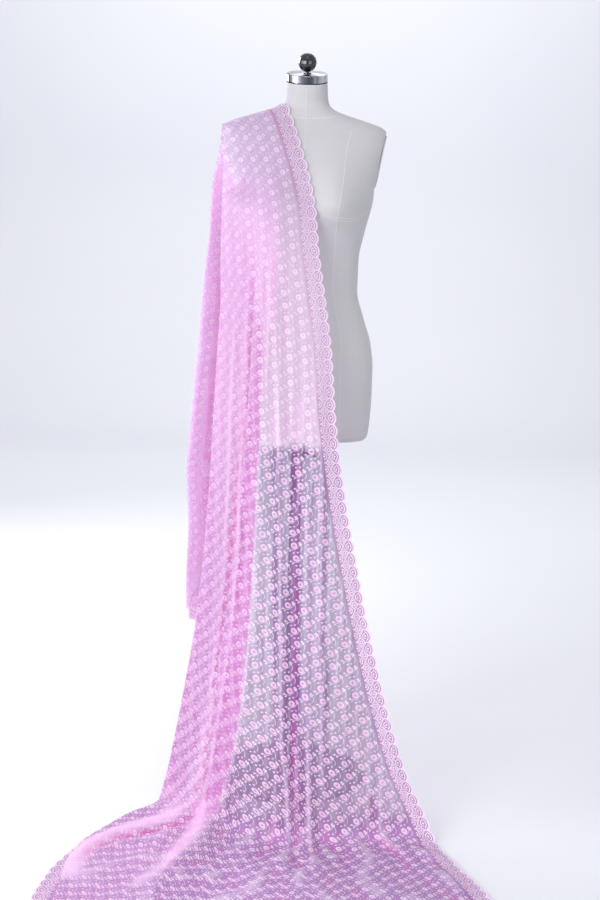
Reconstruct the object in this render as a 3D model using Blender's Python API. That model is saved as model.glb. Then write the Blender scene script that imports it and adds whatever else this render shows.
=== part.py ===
"""A dupatta stole of embroidered net, pleated over one shoulder of a limbless dress form on a stand.

Units are metres. The origin is on the floor under the pole, +Z is up, the form faces -Y, and +X is
to the right of someone who looks at its front. The stole hangs over the shoulder on the -X side: a
short tail hangs behind, a long fall hangs in front, and a train lies on the floor before the form.
Its solids are walls of cloth, one for each stretch that shows and one for each strip of its border.
"""

import math

import bpy
import numpy as np

# ---------------------------------------------------------------- driving sizes
REPEAT = 0.02707  # one repeat of the embroidery, a French inch
CLOTH_WIDTH = 34 * REPEAT  # 0.92 m, from selvedge to selvedge
BORDER = 0.036  # width of the scalloped border
BORDER_LEVEL = 0.035  # the same width measured level, where the cloth slants
WALL = 0.0010  # thickness of a wall of cloth
SEAM = 0.0003  # gap at a seam between two pieces
SEAM_SHARE = 0.6  # share of that gap on each side of the seam
LAYERS = 6  # pleats folded under the front one
PANEL_COLUMNS = 8  # columns of faces across the front pleat

FORM_HEIGHT = 1.5645  # floor to the middle of the neck's top
TORSO_FOOT = 0.789  # height of the torso's lower edge
NECK_TILT = math.radians(16.5)  # the neck's top leans to the front
NECK_FORWARD = 0.010  # how far before the pole the middle of the neck's top stands
POLE_RADIUS = 0.0125
BASE_RADIUS = 0.175
BASE_RIM = 0.006
HUB_TOP = 0.036

SHELL_POWER = 2.3  # roundness of the torso's level sections, 2 is an ellipse
BUST_X, BUST_Z, BUST_DEPTH = 0.078, 1.295, 0.036
BUST_WIDE, BUST_HIGH, BUST_LOW = 0.055, 0.062, 0.042
ARMHOLE_X, ARMHOLE_Z, ARMHOLE_LEAN = 0.153, 1.345, 0.19
ARMHOLE_LOW, ARMHOLE_HIGH = 1.315, 1.475  # heights between which the sides are cut flat

# Level sections of the torso and neck: height, half width, and depth before and behind the axis.
TORSO_ROWS = (
    # z, half_width, front, back
    (0.789, 0.1500, 0.0940, 0.0980),
    (0.794, 0.1550, 0.1010, 0.1055),
    (0.806, 0.1580, 0.1055, 0.1115),
    (0.855, 0.1622, 0.1110, 0.1190),
    (0.900, 0.1634, 0.1130, 0.1220),
    (0.945, 0.1634, 0.1120, 0.1200),
    (1.000, 0.1575, 0.1060, 0.1100),
    (1.060, 0.1390, 0.0960, 0.0940),
    (1.120, 0.1235, 0.0880, 0.0840),
    (1.187, 0.1242, 0.0920, 0.0870),
    (1.250, 0.1360, 0.1020, 0.0970),
    (1.300, 0.1485, 0.1070, 0.1040),
    (1.348, 0.1585, 0.1050, 0.1080),
    (1.400, 0.1700, 0.0930, 0.1060),
    (1.436, 0.1770, 0.0790, 0.0980),
    (1.458, 0.1780, 0.0670, 0.0850),
    (1.470, 0.1680, 0.0600, 0.0760),
    (1.482, 0.1350, 0.0540, 0.0680),
    (1.493, 0.0980, 0.0500, 0.0610),
    (1.504, 0.0660, 0.0470, 0.0550),
    (1.516, 0.0510, 0.0460, 0.0500),
    (1.533, 0.0465, 0.0450, 0.0460),
    (1.5645, 0.0445, 0.0440, 0.0440),
)

# ---------------------------------------------------------------- the stole's stations
# Over the shoulder a station is a half plane through the line y = 0, z = SHOULDER_Z. Its turn is the
# angle from straight up, to the front where it is negative. Left and right are the stole's edges.
SHOULDER_Z = 1.36
SHOULDER_ROWS = (
    # turn, left_x, right_x
    (105, -0.208, -0.080),
    (90, -0.206, -0.078),
    (70, -0.200, -0.072),
    (50, -0.193, -0.065),
    (30, -0.187, -0.058),
    (15, -0.183, -0.056),
    (0, -0.181, -0.054),
    (-15, -0.180, -0.042),
    (-30, -0.179, -0.026),
    (-50, -0.177, -0.013),
    (-70, -0.175, -0.001),
    (-90, -0.174, 0.010),
    (-105, -0.174, 0.018),
)

# The fall and the train: height of the cloth and its two edges, how far its middle stands before the
# line between them, the fold over the front pleat and the turn hidden under it, how far the left
# selvedge lies beyond the left fold, and the lean of the cloth's outward side from straight up.
FRONT_ROWS = (
    # z, left_x, left_y, right_x, right_y, belly, fold_x, turn_x, lap, lean
    (1.290, -0.174, -0.088, 0.025, -0.128, 0.036, -0.088, -0.104, -0.010, 88),
    (1.200, -0.174, -0.100, 0.035, -0.145, 0.034, -0.090, -0.100, -0.010, 80),
    (1.100, -0.172, -0.108, 0.051, -0.162, 0.038, -0.097, -0.092, -0.010, 80),
    (1.000, -0.176, -0.115, 0.066, -0.179, 0.043, -0.100, -0.080, -0.008, 80),
    (0.850, -0.182, -0.128, 0.080, -0.204, 0.051, -0.106, -0.079, -0.006, 80),
    (0.700, -0.187, -0.142, 0.103, -0.229, 0.058, -0.116, -0.082, -0.006, 80),
    (0.550, -0.196, -0.155, 0.133, -0.254, 0.067, -0.128, -0.085, -0.006, 80),
    (0.400, -0.209, -0.170, 0.167, -0.280, 0.075, -0.144, -0.091, -0.004, 79),
    (0.250, -0.232, -0.187, 0.207, -0.305, 0.082, -0.160, -0.103, -0.002, 78),
    (0.120, -0.254, -0.203, 0.252, -0.328, 0.086, -0.174, -0.124, 0.000, 72),
    (0.045, -0.269, -0.213, 0.290, -0.343, 0.090, -0.186, -0.142, 0.000, 55),
    (0.008, -0.281, -0.226, 0.306, -0.360, 0.094, -0.192, -0.152, 0.000, 22),
    (0.000, -0.325, -0.262, 0.320, -0.412, 0.106, -0.207, -0.176, 0.002, 4),
    (0.000, -0.374, -0.345, 0.340, -0.472, 0.100, -0.222, -0.205, 0.006, 0),
    (0.000, -0.412, -0.425, 0.364, -0.530, 0.090, -0.232, -0.228, 0.012, 0),
    (0.000, -0.425, -0.520, 0.385, -0.592, 0.072, -0.236, -0.242, 0.028, 0),
    (0.000, -0.420, -0.625, 0.400, -0.668, 0.050, -0.235, -0.247, 0.046, 0),
    (0.000, -0.408, -0.735, 0.410, -0.748, 0.032, -0.230, -0.246, 0.062, 0),
    (0.000, -0.400, -0.830, 0.415, -0.828, 0.020, -0.225, -0.245, 0.080, 0),
)

# The tail behind: height, edges and how far its outer face stands behind the axis.
BACK_ROWS = (
    # z, left_x, right_x, behind
    (1.250, -0.211, -0.084, 0.113),
    (1.150, -0.214, -0.088, 0.118),
    (1.000, -0.222, -0.092, 0.125),
    (0.900, -0.231, -0.098, 0.129),
    (0.790, -0.241, -0.106, 0.132),
    (0.680, -0.249, -0.112, 0.134),
    (0.560, -0.245, -0.114, 0.136),
    (0.450, -0.248, -0.117, 0.137),
    (0.300, -0.244, -0.121, 0.138),
)
TAIL_LEFT_Y = 0.040  # how far nearer the axis the tail's left edge hangs than its middle
TAIL_LAP = 0.012  # how far the last pleat hangs out past the others at the left

# Where the tail ends: the height of its hem at each pleat's edge, from the right selvedge on.
HEM_HEIGHTS = (0.335, 0.335, 0.335, 0.335, 0.335, 0.335, 0.338, 0.362, 0.640, 0.690)

# How far apart the layers lie: pressed flat over the shoulder, at the ends of that stretch, halfway
# down the fall, on the floor and at the train's end.
PITCH_PRESSED, PITCH_LOOSE, PITCH_FALL = 0.0004, 0.0025, 0.0050
PITCH_FLOOR, PITCH_END = 0.0026, 0.0016
FOLDS = LAYERS + 2  # turns from the right selvedge's pleat to the left selvedge's
FOLD_ROUND = 0.0030  # reach of a fold's round edge
FOLD_STRAY, FOLD_TURN = 0.0012, 2.4  # how unevenly the hidden folds lie on each other
RIPPLES = 1.03  # cloth that the front pleat takes for each metre of its width
FRONT_DROP = 0.12  # width over which the front pleat comes down to the floor from its fold
LAYER_STEP = 0.0022  # how far one layer shows beyond the next at the pressed pleats' edges
FORM_CLEARANCE = 0.0026
HEM_SEAM = 6  # the gap along the pleats at the slanting hem, in seams
FLOOR_LIFT = 0.0006  # height of the middle of a wall that lies on the floor


# ---------------------------------------------------------------- helpers
def mix(a, b, share):
    return a + (b - a) * share


def step(low, high, value):
    """0 below low, 1 above high, and a smooth rise between them."""
    share = np.clip((value - low) / (high - low), 0.0, 1.0)
    return share * share * (3.0 - 2.0 * share)


def steady(known, values, at):
    """A smooth curve through values at the rising places known, with no overshoot, read at one place."""
    known = np.asarray(known, float)
    values = np.asarray(values, float)
    gaps = np.diff(known)
    slopes = (np.diff(values, axis=0).T / gaps).T
    ends = np.zeros_like(values)
    ends[0], ends[-1] = slopes[0], slopes[-1]
    before, after = slopes[:-1], slopes[1:]
    same = before * after > 0
    total = np.where(same, before + after, 1.0)
    ends[1:-1] = np.where(same, 2.0 * before * after / total, 0.0)
    i = int(np.clip(np.searchsorted(known, at, side="right") - 1, 0, len(gaps) - 1))
    u = (at - known[i]) / gaps[i]
    rise = values[i] * (1 + 2 * u) * (1 - u) ** 2 + values[i + 1] * u * u * (3 - 2 * u)
    return rise + gaps[i] * (ends[i] * u * (1 - u) ** 2 - ends[i + 1] * u * u * (1 - u))


def clear_scene():
    for obj in list(bpy.data.objects):
        bpy.data.objects.remove(obj, do_unlink=True)


def material(name, colour, roughness, metallic=0.0):
    made = bpy.data.materials.new(name)
    made.use_nodes = True
    shader = made.node_tree.nodes["Principled BSDF"]
    shader.inputs["Base Color"].default_value = (*colour, 1.0)
    shader.inputs["Roughness"].default_value = roughness
    shader.inputs["Metallic"].default_value = metallic
    return made


def mesh_object(name, points, faces, finish):
    mesh = bpy.data.meshes.new(name)
    mesh.from_pydata([tuple(map(float, p)) for p in points], [], [tuple(map(int, f)) for f in faces])
    mesh.update()
    mesh.shade_smooth()
    mesh.set_sharp_from_angle(angle=math.radians(35))
    mesh.materials.append(finish)
    made = bpy.data.objects.new(name, mesh)
    bpy.context.scene.collection.objects.link(made)
    return made


def rings_object(name, rings, finish):
    """A closed solid through level rings with the same number of points, lowest ring first."""
    count = len(rings[0])
    points = [p for ring in rings for p in ring]
    faces = [tuple(reversed(range(count)))]
    for r in range(len(rings) - 1):
        for i in range(count):
            j = (i + 1) % count
            faces.append((r * count + i, r * count + j, (r + 1) * count + j, (r + 1) * count + i))
    top = (len(rings) - 1) * count
    faces.append(tuple(range(top, top + count)))
    return mesh_object(name, points, faces, finish)


def turned(name, profile, finish, sides=32):
    """A closed turned solid: profile is (radius, height) from its lowest ring up, around +Z."""
    rings = []
    for radius, height in profile:
        turns = [2 * math.pi * i / sides for i in range(sides)]
        rings.append([(radius * math.cos(a), radius * math.sin(a), height) for a in turns])
    return rings_object(name, rings, finish)


# ---------------------------------------------------------------- the dress form
def torso_sizes(z):
    rows = np.array(TORSO_ROWS)
    return steady(rows[:, 0], rows[:, 1:], min(max(z, rows[0, 0]), rows[-1, 0]))


def bust_stand(x, z):
    high = BUST_HIGH if z > BUST_Z else BUST_LOW
    across = (abs(x) - BUST_X) / BUST_WIDE
    return BUST_DEPTH * math.exp(-across * across - ((z - BUST_Z) / high) ** 2)


def armhole_plane(z):
    """How far out the flat side of the armhole lies at a height."""
    return ARMHOLE_X + (z - ARMHOLE_Z) * ARMHOLE_LEAN


def in_torso(x, y, z):
    half, front, back = torso_sizes(z)
    if abs(x) >= half or z > FORM_HEIGHT or z < TORSO_FOOT:
        return False
    share = (1 - (abs(x) / half) ** SHELL_POWER) ** (1 / SHELL_POWER)
    return -(front * share + bust_stand(x, z) * math.sqrt(share)) < y < back * share


def front_of_form(x, z):
    half, front, _ = torso_sizes(z)
    share = (1 - min(abs(x) / half, 0.95) ** SHELL_POWER) ** (1 / SHELL_POWER)
    return -(front * share + bust_stand(x, z) * math.sqrt(share))


def neck_share(z):
    return float(step(1.500, FORM_HEIGHT, z))


def torso_ring(z, sides):
    half, front, back = torso_sizes(z)
    ring = []
    for i in range(sides):
        turn = 2 * math.pi * (i + 0.5) / sides
        along, out = math.cos(turn), math.sin(turn)
        x = half * math.copysign(abs(along) ** (2 / SHELL_POWER), along)
        share = abs(out) ** (2 / SHELL_POWER)
        if out < 0:
            y = -(front * share + bust_stand(x, z) * math.sqrt(share))
        else:
            y = back * share
        side = armhole_plane(z)
        if ARMHOLE_LOW < z < ARMHOLE_HIGH:
            x = min(max(x, -side), side)
        lean = neck_share(z)
        ring.append((x, y - NECK_FORWARD * lean, z + y * math.tan(NECK_TILT) * lean))
    return ring


def build_torso(finish):
    rows = [row[0] for row in TORSO_ROWS]
    heights = []
    for low, high in zip(rows, rows[1:]):
        heights += [low, (low + high) / 2] if high - low > 0.05 else [low]
    heights.append(rows[-1])
    return rings_object("torso", [torso_ring(z, 40) for z in heights], finish)


def build_arm_plate(side, name, finish):
    """An oval cover on the flat of the armhole, 0.3 mm off it."""
    centre_z, half_high, half_deep, thick = 1.401, 0.057, 0.040, 0.0026
    lean = math.atan(ARMHOLE_LEAN)
    inner, outer = [], []
    for i in range(28):
        turn = 2 * math.pi * i / 28
        z = centre_z + half_high * math.sin(turn) * math.cos(lean)
        y = 0.004 + half_deep * math.cos(turn)
        x = armhole_plane(z) + SEAM
        inner.append((side * x, y, z))
        outer.append((side * (x + thick * math.cos(lean)), y, z - thick * math.sin(lean)))
    rings = [inner, outer] if side > 0 else [outer, inner]
    return rings_object(name, rings, finish)


def neck_place(obj, lift=0.0):
    """Sets a turned piece on the tilted top of the neck."""
    obj.rotation_euler = (NECK_TILT, 0.0, 0.0)
    out = np.array((0.0, -math.sin(NECK_TILT), math.cos(NECK_TILT)))
    obj.location = np.array((0.0, -NECK_FORWARD, FORM_HEIGHT)) + out * lift


def build_neck(metal, dark):
    cap_high, rim = 0.0170, 0.0445
    rim_profile = (
        (rim - 0.0015, 0.0),
        (rim, 0.0015),
        (rim, cap_high - 0.0015),
        (rim - 0.0015, cap_high),
    )
    cap = turned("neck_cap", rim_profile, metal, 40)
    neck_place(cap, SEAM)
    ball, stem, foot = 0.0200, 0.0045, 0.0090
    profile = [(foot, 0.0), (foot, 0.0014), (stem, 0.0016), (stem, 0.0028)]
    middle = 0.0028 + math.sqrt(ball * ball - stem * stem)
    low = math.asin(stem / ball) - math.pi / 2 + 0.12
    for i in range(10):
        turn = mix(low, math.pi / 2 - 0.10, i / 9)
        profile.append((ball * math.cos(turn), middle + ball * math.sin(turn)))
    finial = turned("finial", profile, dark, 22)
    neck_place(finial, cap_high + 2 * SEAM)


def build_stand(dark):
    disc = [(BASE_RADIUS - 0.002, 0.0), (BASE_RADIUS, 0.002), (BASE_RADIUS, BASE_RIM - 0.002)]
    disc += [(BASE_RADIUS - 0.002, BASE_RIM), (0.110, 0.0095), (0.045, 0.0125)]
    turned("base_plate", disc, dark, 56)
    hub = [(0.034, 0.0128), (0.034, 0.0180), (0.024, 0.0240), (0.019, HUB_TOP - 0.001)]
    turned("base_hub", hub + [(0.018, HUB_TOP)], dark, 32)
    foot, top = HUB_TOP + SEAM, TORSO_FOOT - SEAM
    turned("pole", [(POLE_RADIUS, foot), (POLE_RADIUS, top)], dark, 24)
    build_collar(dark, 0.7370, 0.7860)


def build_collar(dark, low, high):
    """A ring that clamps the pole, open in the middle, and its screw on the +X side."""
    inner, outer, sides = POLE_RADIUS + SEAM, 0.0190, 32
    corners = ((inner, low), (outer - 0.001, low), (outer, low + 0.001))
    corners += ((outer, high - 0.001), (outer - 0.001, high), (inner, high))
    points, faces, count = [], [], len(corners)
    for i in range(sides):
        turn = 2 * math.pi * i / sides
        points += [(r * math.cos(turn), r * math.sin(turn), z) for r, z in corners]
    for i in range(sides):
        j = (i + 1) % sides
        for k in range(count):
            m = (k + 1) % count
            faces.append((i * count + k, j * count + k, j * count + m, i * count + m))
    mesh_object("pole_collar", points, faces, dark)
    screw = [(0.0040, 0.0), (0.0040, 0.0105), (0.0062, 0.0110), (0.0072, 0.0135)]
    screw += [(0.0072, 0.0215), (0.0060, 0.0235)]
    made = turned("collar_screw", screw, dark, 20)
    made.rotation_euler = (0.0, math.pi / 2, 0.0)
    made.location = (outer + SEAM, 0.0, 0.7510)


# ---------------------------------------------------------------- the stole's form
def shoulder_reach(x, angle):
    """How far the form reaches from the shoulder's middle line in one half plane."""
    wide = 0.176 - 0.046 * abs(math.sin(angle))
    x = min(max(abs(x), 0.052 - 0.10 * abs(math.sin(angle))), wide)
    low, high = 0.010, 0.300
    for _ in range(26):
        reach = (low + high) / 2
        inside = in_torso(x, -reach * math.sin(angle), SHOULDER_Z + reach * math.cos(angle))
        low, high = (reach, high) if inside else (low, reach)
    return high


def belly_shape(share, low):
    """How the front of the cloth stands out across its width, high up and near the floor."""
    high_shape = math.sin(math.pi * share**0.75)
    low_shape = 1.12 * step(0.10, 0.32, share) * (1 - step(0.35, 1.0, share) ** 1.3)
    return mix(high_shape, float(low_shape), low)


CURVE_GUIDES = np.array((0.0, 0.12, 0.25, 0.40, 0.55, 0.70, 0.85, 1.0))
MIDDLE = 4


def guides(knee):
    """Shares of the width where the base surface is given. It is straight from the left edge to the
    knee, so that the pleats under it lie level."""
    return np.concatenate([[0.0], knee + (1.0 - knee) * CURVE_GUIDES])


def rest_and_give(left, right, fold, turn, lap):
    """The width of cloth under the front pleat, and how far its pleats reach in from the left."""
    front = (right - fold) * RIPPLES
    rest = CLOTH_WIDTH - front - abs(turn - fold) - abs(turn - left)
    return rest, (rest - lap) / LAYERS


def tail_station(z, left, right, behind):
    knee = 0.1
    near = [(behind - TAIL_LEFT_Y * (1 - float(step(0.08, 0.90, share))), z) for share in guides(knee)]
    pitch = mix(PITCH_LOOSE, PITCH_PRESSED, float(step(1.15, 1.34, z)))
    fold, hidden = mix(left, right, 0.50), mix(left, right, 0.42)
    lap = mix(TAIL_LAP, -0.010, float(step(1.08, 1.36, z)))
    return (left, right, fold, hidden, lap, -90, 1.0, pitch, knee, near)


def shoulder_station(turn, left, right):
    knee, angle = 0.1, math.radians(-turn)
    near = []
    for share in guides(knee):
        reach = shoulder_reach(mix(left, right, share), angle)
        reach += FORM_CLEARANCE + FOLDS * PITCH_PRESSED + WALL / 2
        near.append((-reach * math.sin(angle), SHOULDER_Z + reach * math.cos(angle)))
    fold, hidden = mix(left, right, 0.50), mix(left, right, 0.42)
    return (left, right, fold, hidden, -0.010, -turn, 1.0, PITCH_PRESSED, knee, near)


def front_station(z, left, left_y, right, right_y, belly, fold, turn, lap, lean):
    _, give = rest_and_give(left, right, fold, turn, lap)
    knee = (max(fold, turn, left + give) + 0.006 - left) / (right - left)
    knee = mix(knee, 0.1, float(step(1.00, 1.20, z)))
    low = float(1 - step(0.045, 0.55, z))
    if z > 0.80:
        pitch = mix(PITCH_FALL, PITCH_PRESSED, float(step(0.80, 1.34, z)))
    elif z > 0:
        pitch = mix(PITCH_FLOOR, PITCH_FALL, float(step(0.0, 0.30, z)))
    else:
        pitch = mix(PITCH_FLOOR, PITCH_END, float(step(0.40, 0.80, -left_y)))
    near = []
    for share in guides(knee):
        out = mix(left_y, right_y, share) - belly * belly_shape(share, low)
        if z > 1.0:
            x, deep = mix(left, right, share), FOLDS * pitch + WALL / 2 + FORM_CLEARANCE
            out = min(out, front_of_form(x, z) - deep)
        near.append((out, z + FLOOR_LIFT))
    return (left, right, fold, turn, lap, lean, float(step(0.0, 0.10, z)), pitch, knee, near)


def column_plan():
    """The columns from the right selvedge to the left one: each one's pleat, its share of the pleat's
    flat width, and its kind."""
    plan = [(0, 0.0, "selvedge")]
    for pleat in range(FOLDS + 1):
        faces = PANEL_COLUMNS + 1 if pleat == 0 else 1
        for i in range(faces + 1):
            plan.append((pleat, i / faces, "flat"))
        if pleat < FOLDS:
            plan.append((pleat, 1.0, "fold"))
    return plan + [(FOLDS, 1.0, "selvedge")]


PLAN = column_plan()


class Stole:
    """The stole's surface. A place is the distance along it from the tail's end, at its middle."""

    def __init__(self):
        rows = [tail_station(*row) for row in reversed(BACK_ROWS)]
        rows += [shoulder_station(*row) for row in SHOULDER_ROWS]
        rows += [front_station(*row) for row in FRONT_ROWS]
        self.plain = np.array([row[:-1] for row in rows])
        self.near = np.array([row[-1] for row in rows])
        gaps = np.linalg.norm(np.diff(self.near[:, MIDDLE], axis=0), axis=1)
        self.places = np.concatenate([[0.0], np.cumsum(gaps)])
        over = len(BACK_ROWS) + len(SHOULDER_ROWS)
        self.tail_top = self.places[len(BACK_ROWS) - 2]
        self.fall_top, self.fall_foot = self.places[over + 3], self.places[over + 10]
        self.blade, self.bust = self.places[len(BACK_ROWS)], self.places[over]
        self.end = self.places[-1]
        self.kept = {}

    def settings(self, place):
        """Left, right, fold, turn, lap, lean, hang, pitch and knee at a place."""
        return steady(self.places, self.plain, place)

    def creases(self, settings):
        """Where the cloth turns, from the right selvedge to the left one, so that its width is whole."""
        left, right, fold, turn, lap = settings[:5]
        rest, give = rest_and_give(left, right, fold, turn, lap)
        last = max(BORDER + 2 * FOLD_ROUND, (rest + lap) / LAYERS)
        back = (3 * give + lap - last) / 2
        turns = [right, fold, turn, left]
        for k, run in enumerate((give, -back, give, -back, give, -last)):
            turns.append(turns[-1] + run + FOLD_STRAY * math.sin(FOLD_TURN * k))
        return turns

    def section(self, place):
        """(x, level) for each column: levels count out from the cloth's base surface."""
        settings = self.settings(place)
        hang, pitch = settings[6:8]
        turns = self.creases(settings)
        runs = np.diff(turns)
        heads = np.clip(runs / (2.5 * FOLD_ROUND), -1.0, 1.0)
        rises = step(-0.003, 0.001, np.maximum(runs[:-1], runs[1:]))
        levels = np.concatenate([np.cumsum(rises[::-1])[::-1], [0.0]]) * pitch
        top, over = levels[0], turns[2]
        begins = np.array(turns[:-1]) + FOLD_ROUND * heads
        ends = np.array(turns[1:]) - FOLD_ROUND * heads
        begins[0], ends[-1] = turns[0] - BORDER_LEVEL, turns[-1] + BORDER
        laid = []
        for pleat, share, kind in PLAN:
            x, level = mix(begins[pleat], ends[pleat], share), levels[pleat]
            if kind == "selvedge":
                x = turns[0] if pleat == 0 else turns[-1]
            elif kind == "fold":
                x, level = turns[pleat + 1], (level + levels[pleat + 1]) / 2
            if pleat == 0:
                level *= mix(1.0 - float(step(over, over + FRONT_DROP, x)), 1.0, hang)
            laid.append((x, level - hang * top))
        return laid

    def point(self, x, level, place):
        left, right, _, _, _, lean, _, _, knee = self.settings(place)
        share = min(max((x - left) / (right - left), 0.0), 1.0)
        near = steady(self.places, self.near, place)
        y = np.interp(share, guides(knee), near[:, 0])
        z = np.interp(share, guides(knee), near[:, 1])
        angle = math.radians(lean)
        return np.array((x, y - level * math.sin(angle), z + level * math.cos(angle)))

    def column_point(self, column, place):
        key = (round(place, 7), column)
        if key not in self.kept:
            for i, (x, level) in enumerate(self.section(place)):
                self.kept[(round(place, 7), i)] = self.point(x, level, place)
        return self.kept[key]


# ---------------------------------------------------------------- walls of cloth
def surface_normals(grid):
    across = np.gradient(grid, axis=1)
    along = np.gradient(grid, axis=0)
    normal = np.cross(across, along)
    return normal / np.linalg.norm(normal, axis=2, keepdims=True)


def drawn_in(grid, edge):
    """The grid with one edge pulled in by a little over half a gap."""
    grid = grid.copy()
    wide = SEAM * (HEM_SEAM if edge.startswith("hem") else 1) * SEAM_SHARE
    edge = edge.removeprefix("hem_")
    rows = {"low": (0, 1, 0), "high": (-1, -2, 0), "right": (0, 1, 1), "left": (-1, -2, 1)}
    first, second, axis = rows[edge]
    view = grid if axis == 0 else grid.transpose(1, 0, 2)
    gap = view[second] - view[first]
    view[first] += gap / np.linalg.norm(gap, axis=1, keepdims=True) * wide
    return grid


def wall_faces(rows, columns):
    """Triangles of a closed wall whose outer points come before its inner ones, row by row."""
    inner = rows * columns
    faces = []
    for r in range(rows - 1):
        for c in range(columns - 1):
            a = r * columns + c
            b, d, e = a + 1, a + columns, a + columns + 1
            faces += [(a, b, e), (a, e, d)]
            faces += [(inner + a, inner + e, inner + b), (inner + a, inner + d, inner + e)]
    around = list(range(columns))
    around += [r * columns + columns - 1 for r in range(1, rows)]
    around += [(rows - 1) * columns + c for c in reversed(range(columns - 1))]
    around += [r * columns for r in reversed(range(1, rows - 1))]
    for here, there in zip(around, around[1:] + around[:1]):
        faces += [(there, here, inner + here), (there, inner + here, inner + there)]
    return faces


def wall(name, grid, normals, finish, edges):
    for edge in edges:
        grid = drawn_in(grid, edge)
    outer = (grid + normals * WALL / 2).reshape(-1, 3)
    inner = (grid - normals * WALL / 2).reshape(-1, 3)
    for side in (outer, inner):
        side[:, 2] = np.maximum(side[:, 2], FLOOR_LIFT - WALL / 2)
    faces = wall_faces(*grid.shape[:2])
    return mesh_object(name, np.concatenate([outer, inner]), faces, finish)


def stretch(name, stole, places, net, border, seams, side=0):
    """The panel and the border strips of one stretch. Places holds a row of the columns' places for
    each row, and side says whether the bordered end comes first (-1), last (1) or not at all (0)."""
    grid = np.array([[stole.column_point(c, place) for c, place in enumerate(row)] for row in places])
    normals = surface_normals(grid)
    last = grid.shape[1] - 1
    inner_rows = {0: slice(None), -1: slice(1, None), 1: slice(0, -1)}[side]
    middle, right, left = slice(1, last), slice(0, 2), slice(last - 1, last + 1)
    panel_edges = ["right", "left"] + {0: seams, -1: ["hem_low", "high"], 1: ["low", "high"]}[side]
    wall(name + "_panel", grid[inner_rows, middle], normals[inner_rows, middle], net, panel_edges)
    wall(name + "_border_right", grid[:, right], normals[:, right], border, ["left"] + seams)
    wall(name + "_border_left", grid[:, left], normals[:, left], border, ["right"] + seams)
    if side:
        end_rows = slice(0, 2) if side < 0 else slice(-2, None)
        edges = ["right", "left", "hem_high" if side < 0 else "low"]
        wall(name + "_border_end", grid[end_rows, middle], normals[end_rows, middle], border, edges)


def build_tail(stole, net, border):
    """The hem's height changes from pleat to pleat, so each column ends at its own place."""
    heights = [row[0] for row in reversed(BACK_ROWS)]
    known = np.linspace(0, LAYERS + 3, len(HEM_HEIGHTS))
    ends = []
    for pleat, share, kind in PLAN:
        passed = pleat + (share if kind != "flat" else mix(0.02, 0.98, share))
        hem = np.interp(passed, known, HEM_HEIGHTS)
        ends.append(float(np.interp(hem, heights, stole.places[: len(heights)])))
    places = [ends, [end + BORDER for end in ends]]
    for r in range(1, 13):
        places.append([mix(end + BORDER, stole.tail_top, r / 12) for end in ends])
    stretch("tail", stole, places, net, border, ["high"], side=-1)


def build_fall(stole, net, border):
    places = [[place] * len(PLAN) for place in np.linspace(stole.fall_top, stole.fall_foot, 13)]
    stretch("fall", stole, places, net, border, ["low", "high"])


def build_train(stole, net, border):
    ends = list(np.linspace(stole.fall_foot, stole.end - BORDER, 11)) + [stole.end]
    places = [[place] * len(PLAN) for place in ends]
    stretch("train", stole, places, net, border, ["low"], side=1)


def shoulder_outline(stole, place):
    """(x, level) round the pressed pleats: their outer side with the front pleat's step, the left edge
    in layers, their inner side, and the inner edge in layers up to the single front layer."""
    left, right, fold, turn, lap, _, _, pitch, _ = stole.settings(place)
    line, deep = right - BORDER_LEVEL, FOLDS * pitch + WALL
    reach = min(left + rest_and_give(left, right, fold, turn, lap)[1], line - 0.008)
    rise = float(step(-0.003, 0.001, turn - fold))
    outer, inner = WALL / 2, -WALL / 2
    lower = outer - 2 * pitch * rise
    outline = [(mix(line, fold, i / 5), outer) for i in range(6)]
    outline += [(mix(fold - 0.001, left, i / 2), lower) for i in range(3)]
    foot = outer - deep
    for k in range(3):
        outline.append((left + LAYER_STEP * ((k + 1) % 2), mix(lower, foot, (k + 1) / 4)))
    outline += [(mix(left, reach, i / 6), foot) for i in range(7)]
    for k in range(3):
        outline.append((reach + LAYER_STEP * (k % 2), mix(foot, inner, (k + 1) / 4)))
    outline += [(mix(reach + 0.004, line, i / 3), inner) for i in range(4)]
    return outline


def build_shoulder(stole, net, border):
    """The pleats lying flat on each other over the shoulder, as one solid layered at its edges."""
    places = list(np.linspace(stole.tail_top, stole.blade, 5))
    places += list(np.linspace(stole.blade, stole.bust, 27))[1:]
    places += list(np.linspace(stole.bust, stole.fall_top, 9))[1:]
    rows, strip = [], []
    for place in places:
        outline = shoulder_outline(stole, place)
        rows.append(np.array([stole.point(x, level, place) for x, level in outline]))
        right = stole.settings(place)[1]
        spread = (right, right - BORDER / 2, right - BORDER_LEVEL)
        strip.append([stole.point(x, 0.0, place) for x in spread])
    for ring, beyond in ((rows[0], rows[1]), (rows[-1], rows[-2])):
        gap = beyond - ring
        ring += gap / np.linalg.norm(gap, axis=1, keepdims=True) * SEAM * SEAM_SHARE
    for ring in rows:
        ring[0, 0] -= SEAM
        ring[-1, 0] -= SEAM
    rings_object("shoulder_pleats", rows, net)
    strip = np.array(strip)
    wall("shoulder_border", strip, surface_normals(strip), border, ["left", "low", "high"])


# ---------------------------------------------------------------- the whole
def build():
    clear_scene()
    linen = material("form_linen", (0.52, 0.51, 0.54), 0.85)
    chrome = material("cap_chrome", (0.62, 0.63, 0.66), 0.12, 1.0)
    dark = material("stand_black", (0.03, 0.03, 0.04), 0.35, 0.6)
    net = material("pink_net", (0.76, 0.48, 0.74), 0.60)
    border = material("border_embroidery", (0.86, 0.60, 0.84), 0.50)
    build_torso(linen)
    build_arm_plate(1, "arm_plate_right", linen)
    build_arm_plate(-1, "arm_plate_left", linen)
    build_neck(chrome, dark)
    build_stand(dark)
    stole = Stole()
    build_tail(stole, net, border)
    build_shoulder(stole, net, border)
    build_fall(stole, net, border)
    build_train(stole, net, border)


build()
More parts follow.
